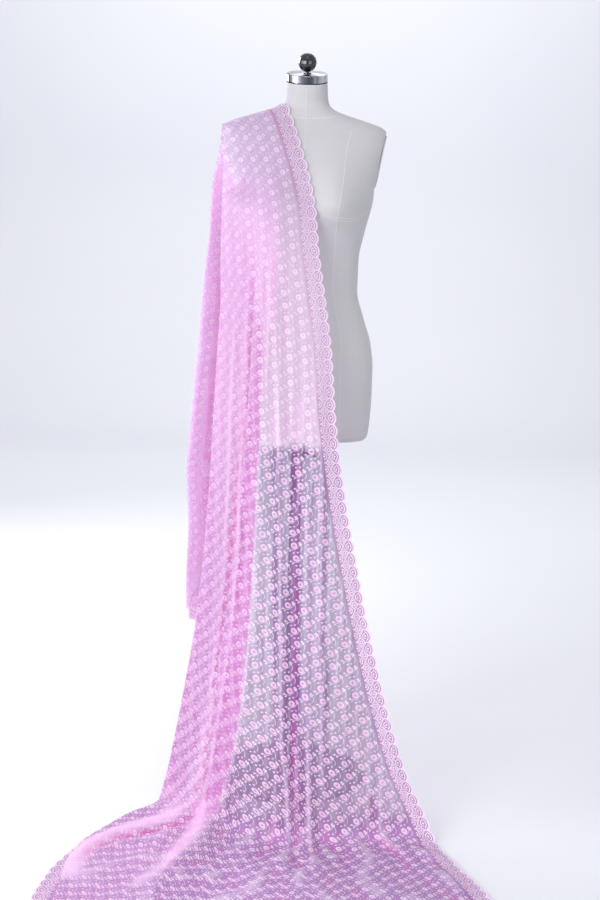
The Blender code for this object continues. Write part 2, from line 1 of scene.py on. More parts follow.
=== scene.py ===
"""Looks of a pink embroidered net dupatta stole, draped on a limbless dress form.

The net is one open cloth, 0.92 m by 3.30 m, folded along its length and laid over the form's
shoulder. Its surface is worked out here as in the solids, only finer, with its ripples, its
scallops and its embroidery. Metres, Z up, the form faces -Y. The long tables are in thousandths.
"""

import math

import bpy
import numpy as np
from mathutils import Matrix, Vector


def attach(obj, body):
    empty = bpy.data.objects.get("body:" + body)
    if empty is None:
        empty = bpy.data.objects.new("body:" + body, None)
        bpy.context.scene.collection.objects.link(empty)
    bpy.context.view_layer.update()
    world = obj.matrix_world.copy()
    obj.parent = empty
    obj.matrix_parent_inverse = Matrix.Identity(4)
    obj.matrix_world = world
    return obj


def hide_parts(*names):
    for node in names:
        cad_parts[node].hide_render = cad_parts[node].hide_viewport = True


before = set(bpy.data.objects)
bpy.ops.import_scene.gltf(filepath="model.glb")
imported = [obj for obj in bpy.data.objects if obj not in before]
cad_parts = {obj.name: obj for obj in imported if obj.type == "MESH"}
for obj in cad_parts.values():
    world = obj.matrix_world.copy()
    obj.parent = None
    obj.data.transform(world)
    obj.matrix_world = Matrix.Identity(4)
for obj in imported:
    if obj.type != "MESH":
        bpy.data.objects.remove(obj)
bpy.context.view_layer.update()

# ---------------------------------------------------------------- sizes, as in the solids
REPEAT = 0.02707  # one repeat of the embroidery
REPEATS = 34  # across the cloth
CLOTH_WIDTH = REPEATS * REPEAT
BORDER = 0.036
BORDER_LEVEL = 0.035  # its width on the right, where it lies a little slanted
TOP_ALONG = 1.155  # how far up the cloth from its tail's end the shoulder's top is
WALL = 0.0010  # the cloth's thickness in the solids
LAYERS = 6  # that share the width which the front pleat leaves
FOLDS = LAYERS + 2

FORM_HEIGHT = 1.5645
TORSO_FOOT = 0.789
NECK_FOOT = 1.500
NECK_TILT = math.radians(16.5)
NECK_FORWARD = 0.010

SHELL_POWER = 2.3  # of the form's cross-sections: 2 would make them ellipses
BUST_X, BUST_Z, BUST_DEPTH = 0.078, 1.295, 0.036
BUST_WIDE, BUST_HIGH, BUST_LOW = 0.055, 0.062, 0.042
ARMHOLE_X, ARMHOLE_Z, ARMHOLE_LEAN = 0.153, 1.345, 0.19
ARMHOLE_LOW, ARMHOLE_HIGH = 1.315, 1.475

TORSO_ROWS = np.array((
    # z, half width, front, back
    (789, 150, 94, 98), (794, 155, 101, 105.5), (806, 158, 105.5, 111.5), (855, 162.2, 111, 119),
    (900, 163.4, 113, 122), (945, 163.4, 112, 120), (1000, 157.5, 106, 110), (1060, 139, 96, 94),
    (1120, 123.5, 88, 84), (1187, 124.2, 92, 87), (1250, 136, 102, 97), (1300, 148.5, 107, 104),
    (1348, 158.5, 105, 108), (1400, 170, 93, 106), (1436, 177, 79, 98), (1458, 178, 67, 85),
    (1470, 168, 60, 76), (1482, 135, 54, 68), (1493, 98, 50, 61), (1504, 66, 47, 55),
    (1516, 51, 46, 50), (1533, 46.5, 45, 46), (1564.5, 44.5, 44, 44),
)) / 1000

SHOULDER_Z = 1.36
SHOULDER_ROWS = (
    # turn in degrees, left x, right x
    (105, -208, -80), (90, -206, -78), (70, -200, -72), (50, -193, -65), (30, -187, -58),
    (15, -183, -56), (0, -181, -54), (-15, -180, -42), (-30, -179, -26), (-50, -177, -13),
    (-70, -175, -1), (-90, -174, 10), (-105, -174, 18),
)

FRONT_ROWS = (
    # z, left x, left y, right x, right y, belly, fold x, turn x, lap; lean in degrees
    (1290, -174, -88, 25, -128, 36, -88, -104, -10, 88),
    (1200, -174, -100, 35, -145, 34, -90, -100, -10, 80),
    (1100, -172, -108, 51, -162, 38, -97, -92, -10, 80),
    (1000, -176, -115, 66, -179, 43, -100, -80, -8, 80),
    (850, -182, -128, 80, -204, 51, -106, -79, -6, 80),
    (700, -187, -142, 103, -229, 58, -116, -82, -6, 80),
    (550, -196, -155, 133, -254, 67, -128, -85, -6, 80),
    (400, -209, -170, 167, -280, 75, -144, -91, -4, 79),
    (250, -232, -187, 207, -305, 82, -160, -103, -2, 78),
    (120, -254, -203, 252, -328, 86, -174, -124, 0, 72),
    (45, -269, -213, 290, -343, 90, -186, -142, 0, 55),
    (8, -281, -226, 306, -360, 94, -192, -152, 0, 22),
    (0, -325, -262, 320, -412, 106, -207, -176, 2, 4),
    (0, -374, -345, 340, -472, 100, -222, -205, 6, 0),
    (0, -412, -425, 364, -530, 90, -232, -228, 12, 0),
    (0, -425, -520, 385, -592, 72, -236, -242, 28, 0),
    (0, -420, -625, 400, -668, 50, -235, -247, 46, 0),
    (0, -408, -735, 410, -748, 32, -230, -246, 62, 0),
    (0, -400, -830, 415, -828, 20, -225, -245, 80, 0),
)

BACK_ROWS = np.array((
    # z, left x, right x, behind
    (1250, -211, -84, 113), (1150, -214, -88, 118), (1000, -222, -92, 125),
    (900, -231, -98, 129), (790, -241, -106, 132), (680, -249, -112, 134),
    (560, -245, -114, 136), (450, -248, -117, 137), (300, -244, -121, 138),
)) / 1000
TAIL_LEFT_Y = 0.040  # how much nearer to the form the tail's left edge hangs
TAIL_LAP = 0.012
# heights of the tail's hem at each fold, from the right selvedge to the left one
HEM_HEIGHTS = (0.335, 0.335, 0.335, 0.335, 0.335, 0.335, 0.338, 0.362, 0.640, 0.690)

# from one layer of the pleats to the next
PITCH_PRESSED, PITCH_LOOSE, PITCH_FALL = 0.0004, 0.0025, 0.0050
PITCH_FLOOR, PITCH_END = 0.0018, 0.0016
FOLD_ROUND = 0.0030
FOLD_STRAY, FOLD_TURN = 0.0012, 2.4
FOLD_SWAY = 0.0030
RIPPLES = 1.03  # how much wider the front pleat is than it lies
FRONT_DROP = 0.12  # the width over which it comes down from the pleats
FORM_CLEARANCE = 0.0026
FLOOR_LIFT = 0.0006

# ---------------------------------------------------------------- how finely the cloth is made
FRONT_COLUMNS, HIDDEN_COLUMNS, FOLD_COLUMNS = 96, 10, 5
TAIL_STEP, SHOULDER_STEP, FALL_STEP, TRAIN_STEP = 0.0090, 0.0050, 0.0060, 0.0048
CHART_ROWS, STRIP_SAMPLES = 520, 600
FORM_SIDES, FORM_STEP = 176, 0.0065
SHOULDER_EDGE = 1.44  # above it the form's rings lie twice as close
SCALLOP_ROWS = 12  # rows of points for each scallop
STRIP_COLUMNS = 9
STRIP_LIFT = 0.0003  # how far a border strip lies on the field's edge
SCALLOP_OUT, SCALLOP_DEEP = 0.0020, 0.0060
SCALLOP_RADIUS = ((REPEAT / 2) ** 2 + SCALLOP_DEEP**2) / (2 * SCALLOP_DEEP)


# ---------------------------------------------------------------- numbers
def mix(a, b, share):
    return a + (b - a) * share


def step(low, high, value):
    share = np.clip((value - low) / (high - low), 0.0, 1.0)
    return share * share * (3.0 - 2.0 * share)


def knot_slopes(slopes):
    """The curve's slope at each knot, from those of the gaps between them, with no overshoot."""
    before, after = slopes[:-1], slopes[1:]
    same = before * after > 0
    inner = np.where(same, 2.0 * before * after / np.where(same, before + after, 1.0), 0.0)
    return np.concatenate([slopes[:1], inner, slopes[-1:]])


def between(u, gap, a, b, from_slope, to_slope):
    """The curve at a share u of the gap between a and b."""
    rise = a * (1 + 2 * u) * (1 - u) ** 2 + b * u * u * (3 - 2 * u)
    return rise + gap * (from_slope * u * (1 - u) ** 2 - to_slope * u * u * (1 - u))


class Track:
    """A smooth curve through values at the rising places known."""

    def __init__(self, known, values):
        self.known = np.asarray(known, float)
        self.values = np.asarray(values, float)
        self.gaps = np.diff(self.known)
        self.slopes = knot_slopes((np.diff(self.values, axis=0).T / self.gaps).T)

    def at(self, where):
        where = np.atleast_1d(np.asarray(where, float))
        i = np.searchsorted(self.known, where, side="right") - 1
        i = np.clip(i, 0, len(self.gaps) - 1)
        shape = (len(where),) + (1,) * (self.values.ndim - 1)
        gap = self.gaps[i].reshape(shape)
        u = ((where - self.known[i]) / self.gaps[i]).reshape(shape)
        ends = self.values[i], self.values[i + 1]
        return between(u, gap, *ends, self.slopes[i], self.slopes[i + 1])


def across_rows(knots, values, share):
    """Reads each row's own smooth curve, given at the row's own knots, at one share a row."""
    rows = np.arange(len(share))
    gaps = np.diff(knots, axis=1)
    slopes = np.diff(values, axis=1) / gaps[..., None]
    slopes = knot_slopes(slopes.swapaxes(0, 1)).swapaxes(0, 1)
    i = np.clip((share[:, None] >= knots[:, 1:-1]).sum(1), 0, knots.shape[1] - 2)
    gap = gaps[rows, i][:, None]
    u = ((share - knots[rows, i]) / gaps[rows, i])[:, None]
    ends = values[rows, i], values[rows, i + 1]
    return between(u, gap, *ends, slopes[rows, i], slopes[rows, i + 1])


# ---------------------------------------------------------------- the dress form's shape
TORSO = Track(TORSO_ROWS[:, 0], TORSO_ROWS[:, 1:])


def torso_sizes(z):
    return TORSO.at(np.clip(z, TORSO_FOOT, FORM_HEIGHT)).T


def bust_stand(x, z):
    high = np.where(z > BUST_Z, BUST_HIGH, BUST_LOW)
    across = (np.abs(x) - BUST_X) / BUST_WIDE
    return BUST_DEPTH * np.exp(-across * across - ((z - BUST_Z) / high) ** 2)


def depth_share(x, half, most):
    """The share of its depth that the form has at x."""
    share = np.maximum(1 - np.minimum(np.abs(x) / half, most) ** SHELL_POWER, 0.0)
    return share ** (1 / SHELL_POWER)


def ahead_of_middle(x, z, front, share):
    return front * share + bust_stand(x, z) * np.sqrt(share)


def front_of_form(x, z):
    half, front, _ = torso_sizes(z)
    return -ahead_of_middle(x, z, front, depth_share(x, half, 0.95))


def in_torso(x, y, z):
    half, front, back = torso_sizes(z)
    inside = (np.abs(x) < half) & (z < FORM_HEIGHT) & (z > TORSO_FOOT)
    share = depth_share(x, half, 1.0)
    return inside & (y > -ahead_of_middle(x, z, front, share)) & (y < back * share)


def form_at(z, turn):
    """Points of the form's surface, given by height and by turn around it."""
    half, front, back = torso_sizes(z)
    along, out = np.cos(turn), np.sin(turn)
    x = half * np.sign(along) * np.abs(along) ** (2 / SHELL_POWER)
    share = np.abs(out) ** (2 / SHELL_POWER)
    y = np.where(out < 0, -ahead_of_middle(x, z, front, share), back * share)
    cut = step(ARMHOLE_LOW, ARMHOLE_LOW + 0.03, z)
    cut = cut * (1 - step(ARMHOLE_HIGH - 0.008, ARMHOLE_HIGH, z))
    side = ARMHOLE_X + (z - ARMHOLE_Z) * ARMHOLE_LEAN
    x = mix(x, np.clip(x, -side, side), cut)
    lean = step(NECK_FOOT, FORM_HEIGHT, z)
    return np.stack([x, y - NECK_FORWARD * lean, z + y * math.tan(NECK_TILT) * lean], 1)


# ---------------------------------------------------------------- the stole's base surface
# A station is one line across the cloth: its left and right x, the x of its front fold and of its
# turn, the lap of the pleats, the way they stack (90 degrees is forwards and 0 is up), 1 where they
# hang or 0 where they lie, their pitch, the share of the width where the curve begins, and the y
# and z of guide points from left to right.
CURVE_GUIDES = np.array((0.0, 0.12, 0.25, 0.40, 0.55, 0.70, 0.85, 1.0))
MIDDLE = 4  # the guide point along which the places on the cloth are counted


def guides(knee):
    return np.concatenate([[0.0], knee + (1.0 - knee) * CURVE_GUIDES])


def shoulder_reach(x, angle):
    """How far the form reaches from the shoulder's middle at an angle, found by halving."""
    wide = 0.176 - 0.046 * abs(math.sin(angle))
    x = min(max(abs(x), 0.052 - 0.10 * abs(math.sin(angle))), wide)
    low, high = 0.010, 0.300
    for _ in range(26):
        reach = (low + high) / 2
        z = np.array([SHOULDER_Z + reach * math.cos(angle)])
        inside = in_torso(np.array([x]), np.array([-reach * math.sin(angle)]), z)[0]
        low, high = (reach, high) if inside else (low, reach)
    return high


def belly_shape(share, low):
    high_shape = math.sin(math.pi * share**0.75)
    low_shape = 1.12 * step(0.10, 0.32, share) * (1 - step(0.35, 1.0, share) ** 1.3)
    return mix(high_shape, float(low_shape), low)


def rest_and_give(left, right, fold, turn, lap):
    """The width left for the layers behind the front pleat, and each layer's share of it."""
    front = (right - fold) * RIPPLES
    rest = CLOTH_WIDTH - front - abs(turn - fold) - abs(turn - left)
    return rest, (rest - lap) / LAYERS


def tail_station(z, left, right, behind):
    knee = 0.1
    away = [TAIL_LEFT_Y * (1 - float(step(0.08, 0.90, share))) for share in guides(knee)]
    near = [(behind - nearer, z) for nearer in away]
    pitch = mix(PITCH_LOOSE, PITCH_PRESSED, float(step(1.15, 1.34, z)))
    fold, hidden = mix(left, right, 0.50), mix(left, right, 0.42)
    lap = mix(TAIL_LAP, -0.010, float(step(1.08, 1.36, z)))
    return (left, right, fold, hidden, lap, -90, 1.0, pitch, knee, near)


def shoulder_station(turn, left, right):
    knee, angle = 0.1, math.radians(-turn)
    near = []
    for share in guides(knee):
        reach = shoulder_reach(mix(left, right, share), angle)
        reach += FORM_CLEARANCE + FOLDS * PITCH_PRESSED + WALL / 2
        near.append((-reach * math.sin(angle), SHOULDER_Z + reach * math.cos(angle)))
    fold, hidden = mix(left, right, 0.50), mix(left, right, 0.42)
    return (left, right, fold, hidden, -0.010, -turn, 1.0, PITCH_PRESSED, knee, near)


def front_station(z, left, left_y, right, right_y, belly, fold, turn, lap, lean):
    _, give = rest_and_give(left, right, fold, turn, lap)
    knee = (max(fold, turn, left + give) + 0.006 - left) / (right - left)
    knee = mix(knee, 0.1, float(step(1.00, 1.20, z)))
    low = float(1 - step(0.045, 0.55, z))
    if z > 0.80:
        pitch = mix(PITCH_FALL, PITCH_PRESSED, float(step(0.80, 1.34, z)))
    elif z > 0:
        pitch = mix(PITCH_FLOOR, PITCH_FALL, float(step(0.0, 0.30, z)))
    else:
        pitch = mix(PITCH_FLOOR, PITCH_END, float(step(0.40, 0.80, -left_y)))
    near = []
    for share in guides(knee):
        out = mix(left_y, right_y, share) - belly * belly_shape(share, low)
        if z > 1.0:
            x, deep = mix(left, right, share), FOLDS * pitch + WALL / 2 + FORM_CLEARANCE
            out = min(out, float(front_of_form(np.array([x]), np.array([z]))[0]) - deep)
        near.append((out, z + FLOOR_LIFT))
    return (left, right, fold, turn, lap, lean, float(step(0.0, 0.10, z)), pitch, knee, near)


def lines(*tables):
    """Lines of the cloth. A point is a row of x, y, z, height and half width, in thousandths."""
    return [np.array(table) / 1000 for table in tables]


RIDGES = lines(
    ((-60, -155, 1120, 0, 12), (-50, -180, 1000, 3, 12), (-38, -205, 800, 6, 12),
     (-28, -240, 550, 9, 11), (-21, -280, 400, 10, 11), (-15, -320, 200, 10, 11),
     (2, -360, 80, 8, 12), (8, -400, 0, 8, 13), (-2, -520, 0, 0, 16)),
    ((26, -180, 1000, 0, 13), (30, -225, 750, 3, 13), (34, -275, 450, 6, 12),
     (38, -330, 200, 8, 12), (46, -365, 60, 10, 13), (52, -430, 0, 11, 14), (56, -540, 0, 0, 18)),
    ((30, -160, 1160, 0, 16), (46, -200, 900, 4, 14), (56, -235, 700, 7, 12),
     (58, -290, 400, 8, 12), (70, -345, 150, 6, 13), (85, -375, 30, 0, 16)),
    ((-146, -165, 1160, 0, 9), (-142, -175, 1000, 3, 9), (-144, -190, 800, 5, 9),
     (-148, -205, 550, 7, 9), (-157, -225, 400, 8, 9), (-171, -245, 250, 8, 10),
     (-184, -265, 120, 6, 10), (-196, -270, 40, 0, 12)),
    ((-116, -170, 1120, 0, 8), (-112, -190, 1000, 4, 8), (-112, -205, 850, 5, 8),
     (-120, -220, 700, 6, 8), (-118, -235, 550, 6, 8), (-130, -255, 400, 6, 9),
     (-146, -275, 250, 7, 9), (-164, -292, 120, 7, 10), (-182, -300, 20, 4, 12)),
)
TROUGHS = lines(
    ((0, -180, 980, 0, 11), (3, -230, 700, -6, 10), (6, -290, 400, -11, 10),
     (12, -330, 220, -12, 10), (18, -360, 100, -12, 10), (23, -380, 20, -10, 10),
     (18, -425, 0, -7, 10), (22, -500, 0, -2, 10)),
    ((-30, -350, 60, 0, 8), (-26, -372, 10, -6, 9), (-40, -430, 0, -3, 9), (-60, -480, 0, 0, 10)),
    ((-188, -268, 60, 0, 6), (-200, -306, 10, -8, 7), (-232, -342, 0, -9, 8),
     (-270, -370, 0, -10, 8), (-335, -408, 0, -9, 7), (-382, -464, 0, -6, 6),
     (-402, -522, 0, 0, 6)),
    ((70, -350, 100, 0, 9), (85, -385, 0, -6, 10), (120, -450, 0, -4, 11), (150, -540, 0, 0, 12)),
    ((170, -340, 100, 0, 10), (200, -380, 0, -5, 11), (240, -440, 0, -3, 11),
     (270, -500, 0, 0, 12)),
)
ROLL_LINE, LEFT_EDGE, BAND_LINE = lines(
    # the rounded roll at the left of the train, a little inside its edge
    ((-226, -246, 50, 0, 16), (-246, -290, 0, 4, 17), (-290, -330, 0, 6, 18),
     (-342, -374, 0, 9, 18), (-388, -432, 0, 10, 17), (-410, -492, 0, 7, 15),
     (-415, -560, 0, 2, 14)),
    # that edge itself, where only the place counts
    ((-281, -226, 0, 1000, 20), (-325, -262, 0, 1000, 20), (-374, -345, 0, 1000, 20),
     (-414, -425, 0, 1000, 20), (-452, -520, 0, 1000, 20), (-466, -625, 0, 1000, 20),
     (-475, -850, 0, 1000, 20)),
    # the doubled band that runs on over the floor from the foot of the fall, with a share as height
    ((-172, -262, 50, 1000, 17), (-182, -300, 0, 1000, 18), (-194, -396, 0, 1000, 17),
     (-222, -485, 0, 900, 15), (-256, -560, 0, 700, 13), (-290, -620, 0, 0, 11)),
)


def near_line(points, line):
    """For each point: how far one line of the cloth is, and the line's height and half width there.
    Where the cloth hangs, the line's depth doesn't count, and where it lies, its height doesn't."""
    scale = np.ones((len(points), 3))
    scale[:, 1] = 1 - step(0.01, 0.07, points[:, 2])
    scale[:, 2] = step(0.03, 0.08, points[:, 2])
    best = np.full(len(points), 1e9)
    height, width = np.zeros(len(points)), np.ones(len(points))
    for a, b in zip(line, line[1:]):
        run = (b[:3] - a[:3]) * scale
        off = (points - a[:3]) * scale
        share = np.clip((off * run).sum(1) / np.maximum((run * run).sum(1), 1e-9), 0.0, 1.0)
        gap = np.linalg.norm(off - share[:, None] * run, axis=1)
        near = gap < best
        best = np.where(near, gap, best)
        height = np.where(near, mix(a[3], b[3], share), height)
        width = np.where(near, mix(a[4], b[4], share), width)
    return np.where(points[:, 1] > 0, 1.0, best), height, width


def line_height(points, line):
    """The height that one ridge or trough gives to each point."""
    gap, height, width = near_line(points, line)
    return height * np.exp(-((gap / width) ** 2))


def line_share(points, line, narrow):
    """1 on a line where it is highest or deepest, and 0 away from it."""
    gap, height, width = near_line(points, line)
    return np.abs(height) / np.abs(line[:, 3]).max() * np.exp(-((gap / (width * narrow)) ** 2))


FALL_WAVES = (
    # pace across, pace up, shift, size
    (62, 3, 0.4, 0.0012), (118, -4, 1.9, 0.0009), (205, 7, 4.0, 0.0006), (31, 9, 2.2, 0.0012),
)


def waves(x, y):
    """A smooth, uneven field from a few crossing sines."""
    total = np.zeros_like(x)
    for k, (kx, ky, shift, size) in enumerate(FALL_WAVES):
        bend = 0.9 * np.sin(x * ky * 0.31 + y * kx * 0.27 + 1.7 * k)
        total += size * np.sin(x * kx + y * ky + shift + bend)
    return total


def streaks(x, z):
    """The fine upright wrinkles of the hanging cloth, from -1 to 1."""
    bend = 0.8 * np.sin(z * 5.1 + x * 9) + 0.5 * np.sin(z * 11.3 - x * 21 + 1.0)
    first = np.sin(x * 262 + 1.9 * bend + 0.7)
    second = np.sin(x * 455 - 2.6 * bend + z * 3.0 + 2.2)
    third = np.sin(x * 745 + 3.3 * bend - z * 5.0)
    uneven = 0.55 + 0.45 * np.sin(z * 9.0 + x * 37 + 0.6)
    return (0.5 * first + 0.32 * second * uneven + 0.18 * third) * (0.6 + 0.4 * uneven)


def floor_waves(x, y):
    """The soft wrinkles of the train, from -1 in a hollow to 1 on a crest. They fan out from
    under the form."""
    x, y = x - 0.02, y + 0.05
    spread, turn = np.sqrt(x**2 + y**2), np.arctan2(x, -y)
    bend = np.sin(3.7 * turn + 15.0 * spread) + 0.7 * np.sin(6.1 * turn - 27.0 * spread + 1.2)
    first = np.sin(27.0 * turn + 1.9 * bend + 9.0 * spread)
    second = np.sin(44.0 * turn - 1.6 * bend - 23.0 * spread + 2.0)
    third = np.sin(71.0 * turn + 2.7 * bend + 46.0 * spread)
    uneven = 0.6 + 0.4 * np.sin(8.0 * turn + 31.0 * spread + 0.5)
    total = 0.42 * first + 0.36 * second * uneven + 0.26 * third
    return np.clip(total * 1.2, -1, 1)


def ripple(points):
    """How far the cloth stands out from its base surface at points of that surface."""
    x, y, z = points.T
    out = np.zeros(len(points))
    hanging = step(-0.010, 0.05, z)
    for line in [*RIDGES, *TROUGHS, ROLL_LINE]:
        out += line_height(points, line)
    loose = hanging * (1 - step(1.00, 1.25, z)) * (y < 0)
    deep = mix(0.0008, 0.0016, 1 - step(0.3, 1.0, z))
    out += hanging * (1 - step(1.08, 1.28, z)) * streaks(x, z) * deep
    out += loose * waves(x, z) * mix(0.4, 1.5, 1 - step(0.1, 0.9, z))
    behind = (y > 0.02) * (1 - step(1.00, 1.30, z))
    out += behind * waves(x, z) * 0.5
    close = 1 - step(0.05, 0.34, -0.33 - y)
    calm = step(0.006, 0.060, near_line(points, LEFT_EDGE)[0])
    out += (1 - hanging) * (1 + floor_waves(x, y)) * mix(0.0016, 0.0052, close) * calm
    return np.where(z < 0.02, np.maximum(out, 0.0), out)


# ---------------------------------------------------------------- the stole's columns and rows
def column_plan():
    """Columns from the right selvedge to the left one, as (pleat, share, kind)."""
    plan = []
    for pleat in range(FOLDS + 1):
        faces = FRONT_COLUMNS if pleat == 0 else HIDDEN_COLUMNS
        if pleat == 2:
            faces = 2 * HIDDEN_COLUMNS
        plan += [(pleat, i / faces, "flat") for i in range(faces + 1)]
        if pleat < FOLDS:
            plan += [(pleat, (i + 1) / (FOLD_COLUMNS + 1), "fold") for i in range(FOLD_COLUMNS)]
    return plan


PLAN = column_plan()


class Stole:
    """The lay of the whole cloth: its stations, and points at places counted from the tail."""

    def __init__(self):
        rows = [tail_station(*row) for row in BACK_ROWS[::-1]]
        rows += [shoulder_station(turn, x / 1000, end / 1000) for turn, x, end in SHOULDER_ROWS]
        rows += [front_station(*np.array(row) / 1000, lean) for *row, lean in FRONT_ROWS]
        near = np.array([row[-1] for row in rows])
        gaps = np.linalg.norm(np.diff(near[:, MIDDLE], axis=0), axis=1)
        places = np.concatenate([[0.0], np.cumsum(gaps)])
        over = len(BACK_ROWS) + len(SHOULDER_ROWS)
        self.plain = Track(places, [row[:-1] for row in rows])
        self.near = Track(places, near)
        self.tail_top = places[len(BACK_ROWS) - 2]
        self.fall_top, self.fall_foot = places[over + 3], places[over + 10]
        self.top = places[len(BACK_ROWS) + 6]
        self.end = places[-1]
        self.heights = BACK_ROWS[::-1, 0]
        self.back_places = places[: len(BACK_ROWS)]

    def layout(self, where):
        left, right, fold, turn, lap, lean, hang, pitch, knee = self.plain.at(where).T
        rest, give = rest_and_give(left, right, fold, turn, lap)
        last = np.maximum(BORDER + 2 * FOLD_ROUND, (rest + lap) / LAYERS)
        back = (3 * give + lap - last) / 2
        turns = [right, fold, turn, left]
        for k, run in enumerate((give, -back, give, -back, give, -last)):
            stray = FOLD_STRAY * math.sin(FOLD_TURN * k)
            stray = stray + FOLD_SWAY * np.sin(where * (5 + k) + 2.1 * k)
            turns.append(turns[-1] + run + stray)
        turns = np.stack(turns, 1)
        runs = np.diff(turns, axis=1)
        heads = np.clip(runs / (2.5 * FOLD_ROUND), -1.0, 1.0)
        rises = step(-0.003, 0.001, np.maximum(runs[:, :-1], runs[:, 1:]))
        levels = np.cumsum(rises[:, ::-1], axis=1)[:, ::-1]
        levels = np.concatenate([levels, np.zeros((len(where), 1))], axis=1) * pitch[:, None]
        begins = turns[:, :-1] + FOLD_ROUND * heads
        ends = turns[:, 1:] - FOLD_ROUND * heads
        begins[:, 0] = turns[:, 0] - BORDER_LEVEL
        ends[:, -1] = turns[:, -1] + BORDER
        knots = knee[:, None] + (1.0 - knee[:, None]) * CURVE_GUIDES
        knots = np.concatenate([np.zeros((len(where), 1)), knots], axis=1)
        return {
            "left": left, "right": right, "turns": turns, "heads": heads, "levels": levels,
            "begins": begins, "ends": ends, "knots": knots, "near": self.near.at(where),
            "lean": np.radians(lean), "hang": hang, "pitch": pitch,
        }

    def place_on(self, lay, x, level, front):
        """Points at x and a level of a layout's rows, on the front pleat if front is true."""
        share = np.clip((x - lay["left"]) / (lay["right"] - lay["left"]), 0.0, 1.0)
        base = across_rows(lay["knots"], lay["near"], share)
        points = np.stack([x, base[:, 0], base[:, 1]], 1)
        if front:
            over = lay["turns"][:, 2]
            drop = 1.0 - step(over, over + FRONT_DROP, x)
            level = level * mix(drop, 1.0, lay["hang"])
        level = level - lay["hang"] * lay["levels"][:, 0] + ripple(points)
        points[:, 1] -= level * np.sin(lay["lean"])
        points[:, 2] += level * np.cos(lay["lean"])
        points[:, 2] = np.maximum(points[:, 2], FLOOR_LIFT)
        return points

    def column(self, lay, column):
        pleat, share, kind = column
        level = lay["levels"][:, pleat]
        if kind == "flat":
            x = mix(lay["begins"][:, pleat], lay["ends"][:, pleat], share)
            return self.place_on(lay, x, level, pleat == 0)
        turn, angle = lay["turns"][:, pleat + 1], math.pi * share
        head = lay["heads"][:, pleat] if share <= 0.5 else -lay["heads"][:, pleat + 1]
        x = turn - FOLD_ROUND * head * (1 - math.sin(angle))
        level = mix(level, lay["levels"][:, pleat + 1], (1 - math.cos(angle)) / 2)
        return self.place_on(lay, x, level, pleat == 0)

    def hem_places(self, plan):
        """Where each column of the tail ends."""
        known = np.linspace(0, LAYERS + 3, len(HEM_HEIGHTS))
        ends = []
        for pleat, share, kind in plan:
            passed = pleat + (mix(0.02, 0.98, share) if kind == "flat" else mix(0.98, 1.02, share))
            hem = np.interp(passed, known, HEM_HEIGHTS)
            ends.append(float(np.interp(hem, self.heights, self.back_places)))
        return np.array(ends)

    def grid(self, places):
        """Points for places given as rows of one place a column, or of one place for all."""
        if places.ndim == 1:
            lay = self.layout(places)
            return np.stack([self.column(lay, column) for column in PLAN], 1)
        parts = [self.column(self.layout(places[:, m]), column) for m, column in enumerate(PLAN)]
        return np.stack(parts, 1)


stole = Stole()
HEM = stole.hem_places(PLAN)


# ---------------------------------------------------------------- lengths in the cloth
class Chart:
    """The flat place of each point of the cloth: across from the right selvedge and along from the
    tail's end, both in metres."""

    def __init__(self):
        self.places = np.linspace(HEM.min(), stole.end, CHART_ROWS)
        points = stole.grid(self.places)
        across = np.linalg.norm(np.diff(points, axis=1), axis=2)
        across = np.concatenate([np.zeros((len(points), 1)), np.cumsum(across, axis=1)], axis=1)
        field = CLOTH_WIDTH - 2 * BORDER
        self.across = BORDER + across / across[:, -1:] * field
        along = np.linalg.norm(np.diff(points, axis=0), axis=2)
        along = np.concatenate([np.zeros((1, points.shape[1])), np.cumsum(along, axis=0)])
        top = np.array([np.interp(stole.top, self.places, along[:, m]) for m in range(len(PLAN))])
        self.along = along - top + TOP_ALONG

    def at(self, places):
        """Across and along for rows of places, for each column."""
        if places.ndim == 1:
            places = np.repeat(places[:, None], len(PLAN), axis=1)
        across = [np.interp(places[:, m], self.places, self.across[:, m]) for m in range(len(PLAN))]
        along = [np.interp(places[:, m], self.places, self.along[:, m]) for m in range(len(PLAN))]
        return np.stack(across, 1), np.stack(along, 1)


chart = Chart()


# ---------------------------------------------------------------- meshes
def link(name, data):
    made = bpy.data.objects.new(name, data)
    bpy.context.scene.collection.objects.link(made)
    return made


def quads(index):
    """The faces of a grid of point numbers."""
    corners = (index[:-1, :-1], index[:-1, 1:], index[1:, 1:], index[1:, :-1])
    return np.stack(corners, -1).reshape(-1, 4).tolist()


def grid_mesh(name, points, uv, material, extra=(), normals=None, closed=False):
    """A surface through a grid of points, with its flat places as a UV map in metres."""
    rows, columns = points.shape[:2]
    index = np.arange(rows * columns).reshape(rows, columns)
    if closed:
        index = np.concatenate([index, index[:, :1]], axis=1)
    mesh = bpy.data.meshes.new(name)
    mesh.from_pydata(points.reshape(-1, 3).tolist(), [], quads(index))
    corners = np.empty(len(mesh.loops), np.int32)
    mesh.loops.foreach_get("vertex_index", corners)
    flat = uv.reshape(-1, 2)
    low, high = flat.min(0), flat.max(0)
    tidy = 0.002 + 0.996 * (flat - low) / (high - low)
    for title, values in (("metres", flat), ("OFBake", tidy)):
        layer = mesh.uv_layers.new(name=title)
        layer.data.foreach_set("uv", values[corners].astype(np.float32).ravel())
    for title, values in extra:
        kind, key = ("FLOAT_COLOR", "color") if title == "shade" else ("FLOAT", "value")
        made = mesh.attributes.new(title, kind, "POINT")
        made.data.foreach_set(key, np.asarray(values, np.float32).ravel())
    mesh.shade_smooth()
    if normals is not None:
        mesh.normals_split_custom_set_from_vertices(normals.reshape(-1, 3).tolist())
    mesh.materials.append(material)
    made = link(name, mesh)
    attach(made, "root")
    return made


def unit(vectors):
    return vectors / np.maximum(np.linalg.norm(vectors, axis=-1, keepdims=True), 1e-12)


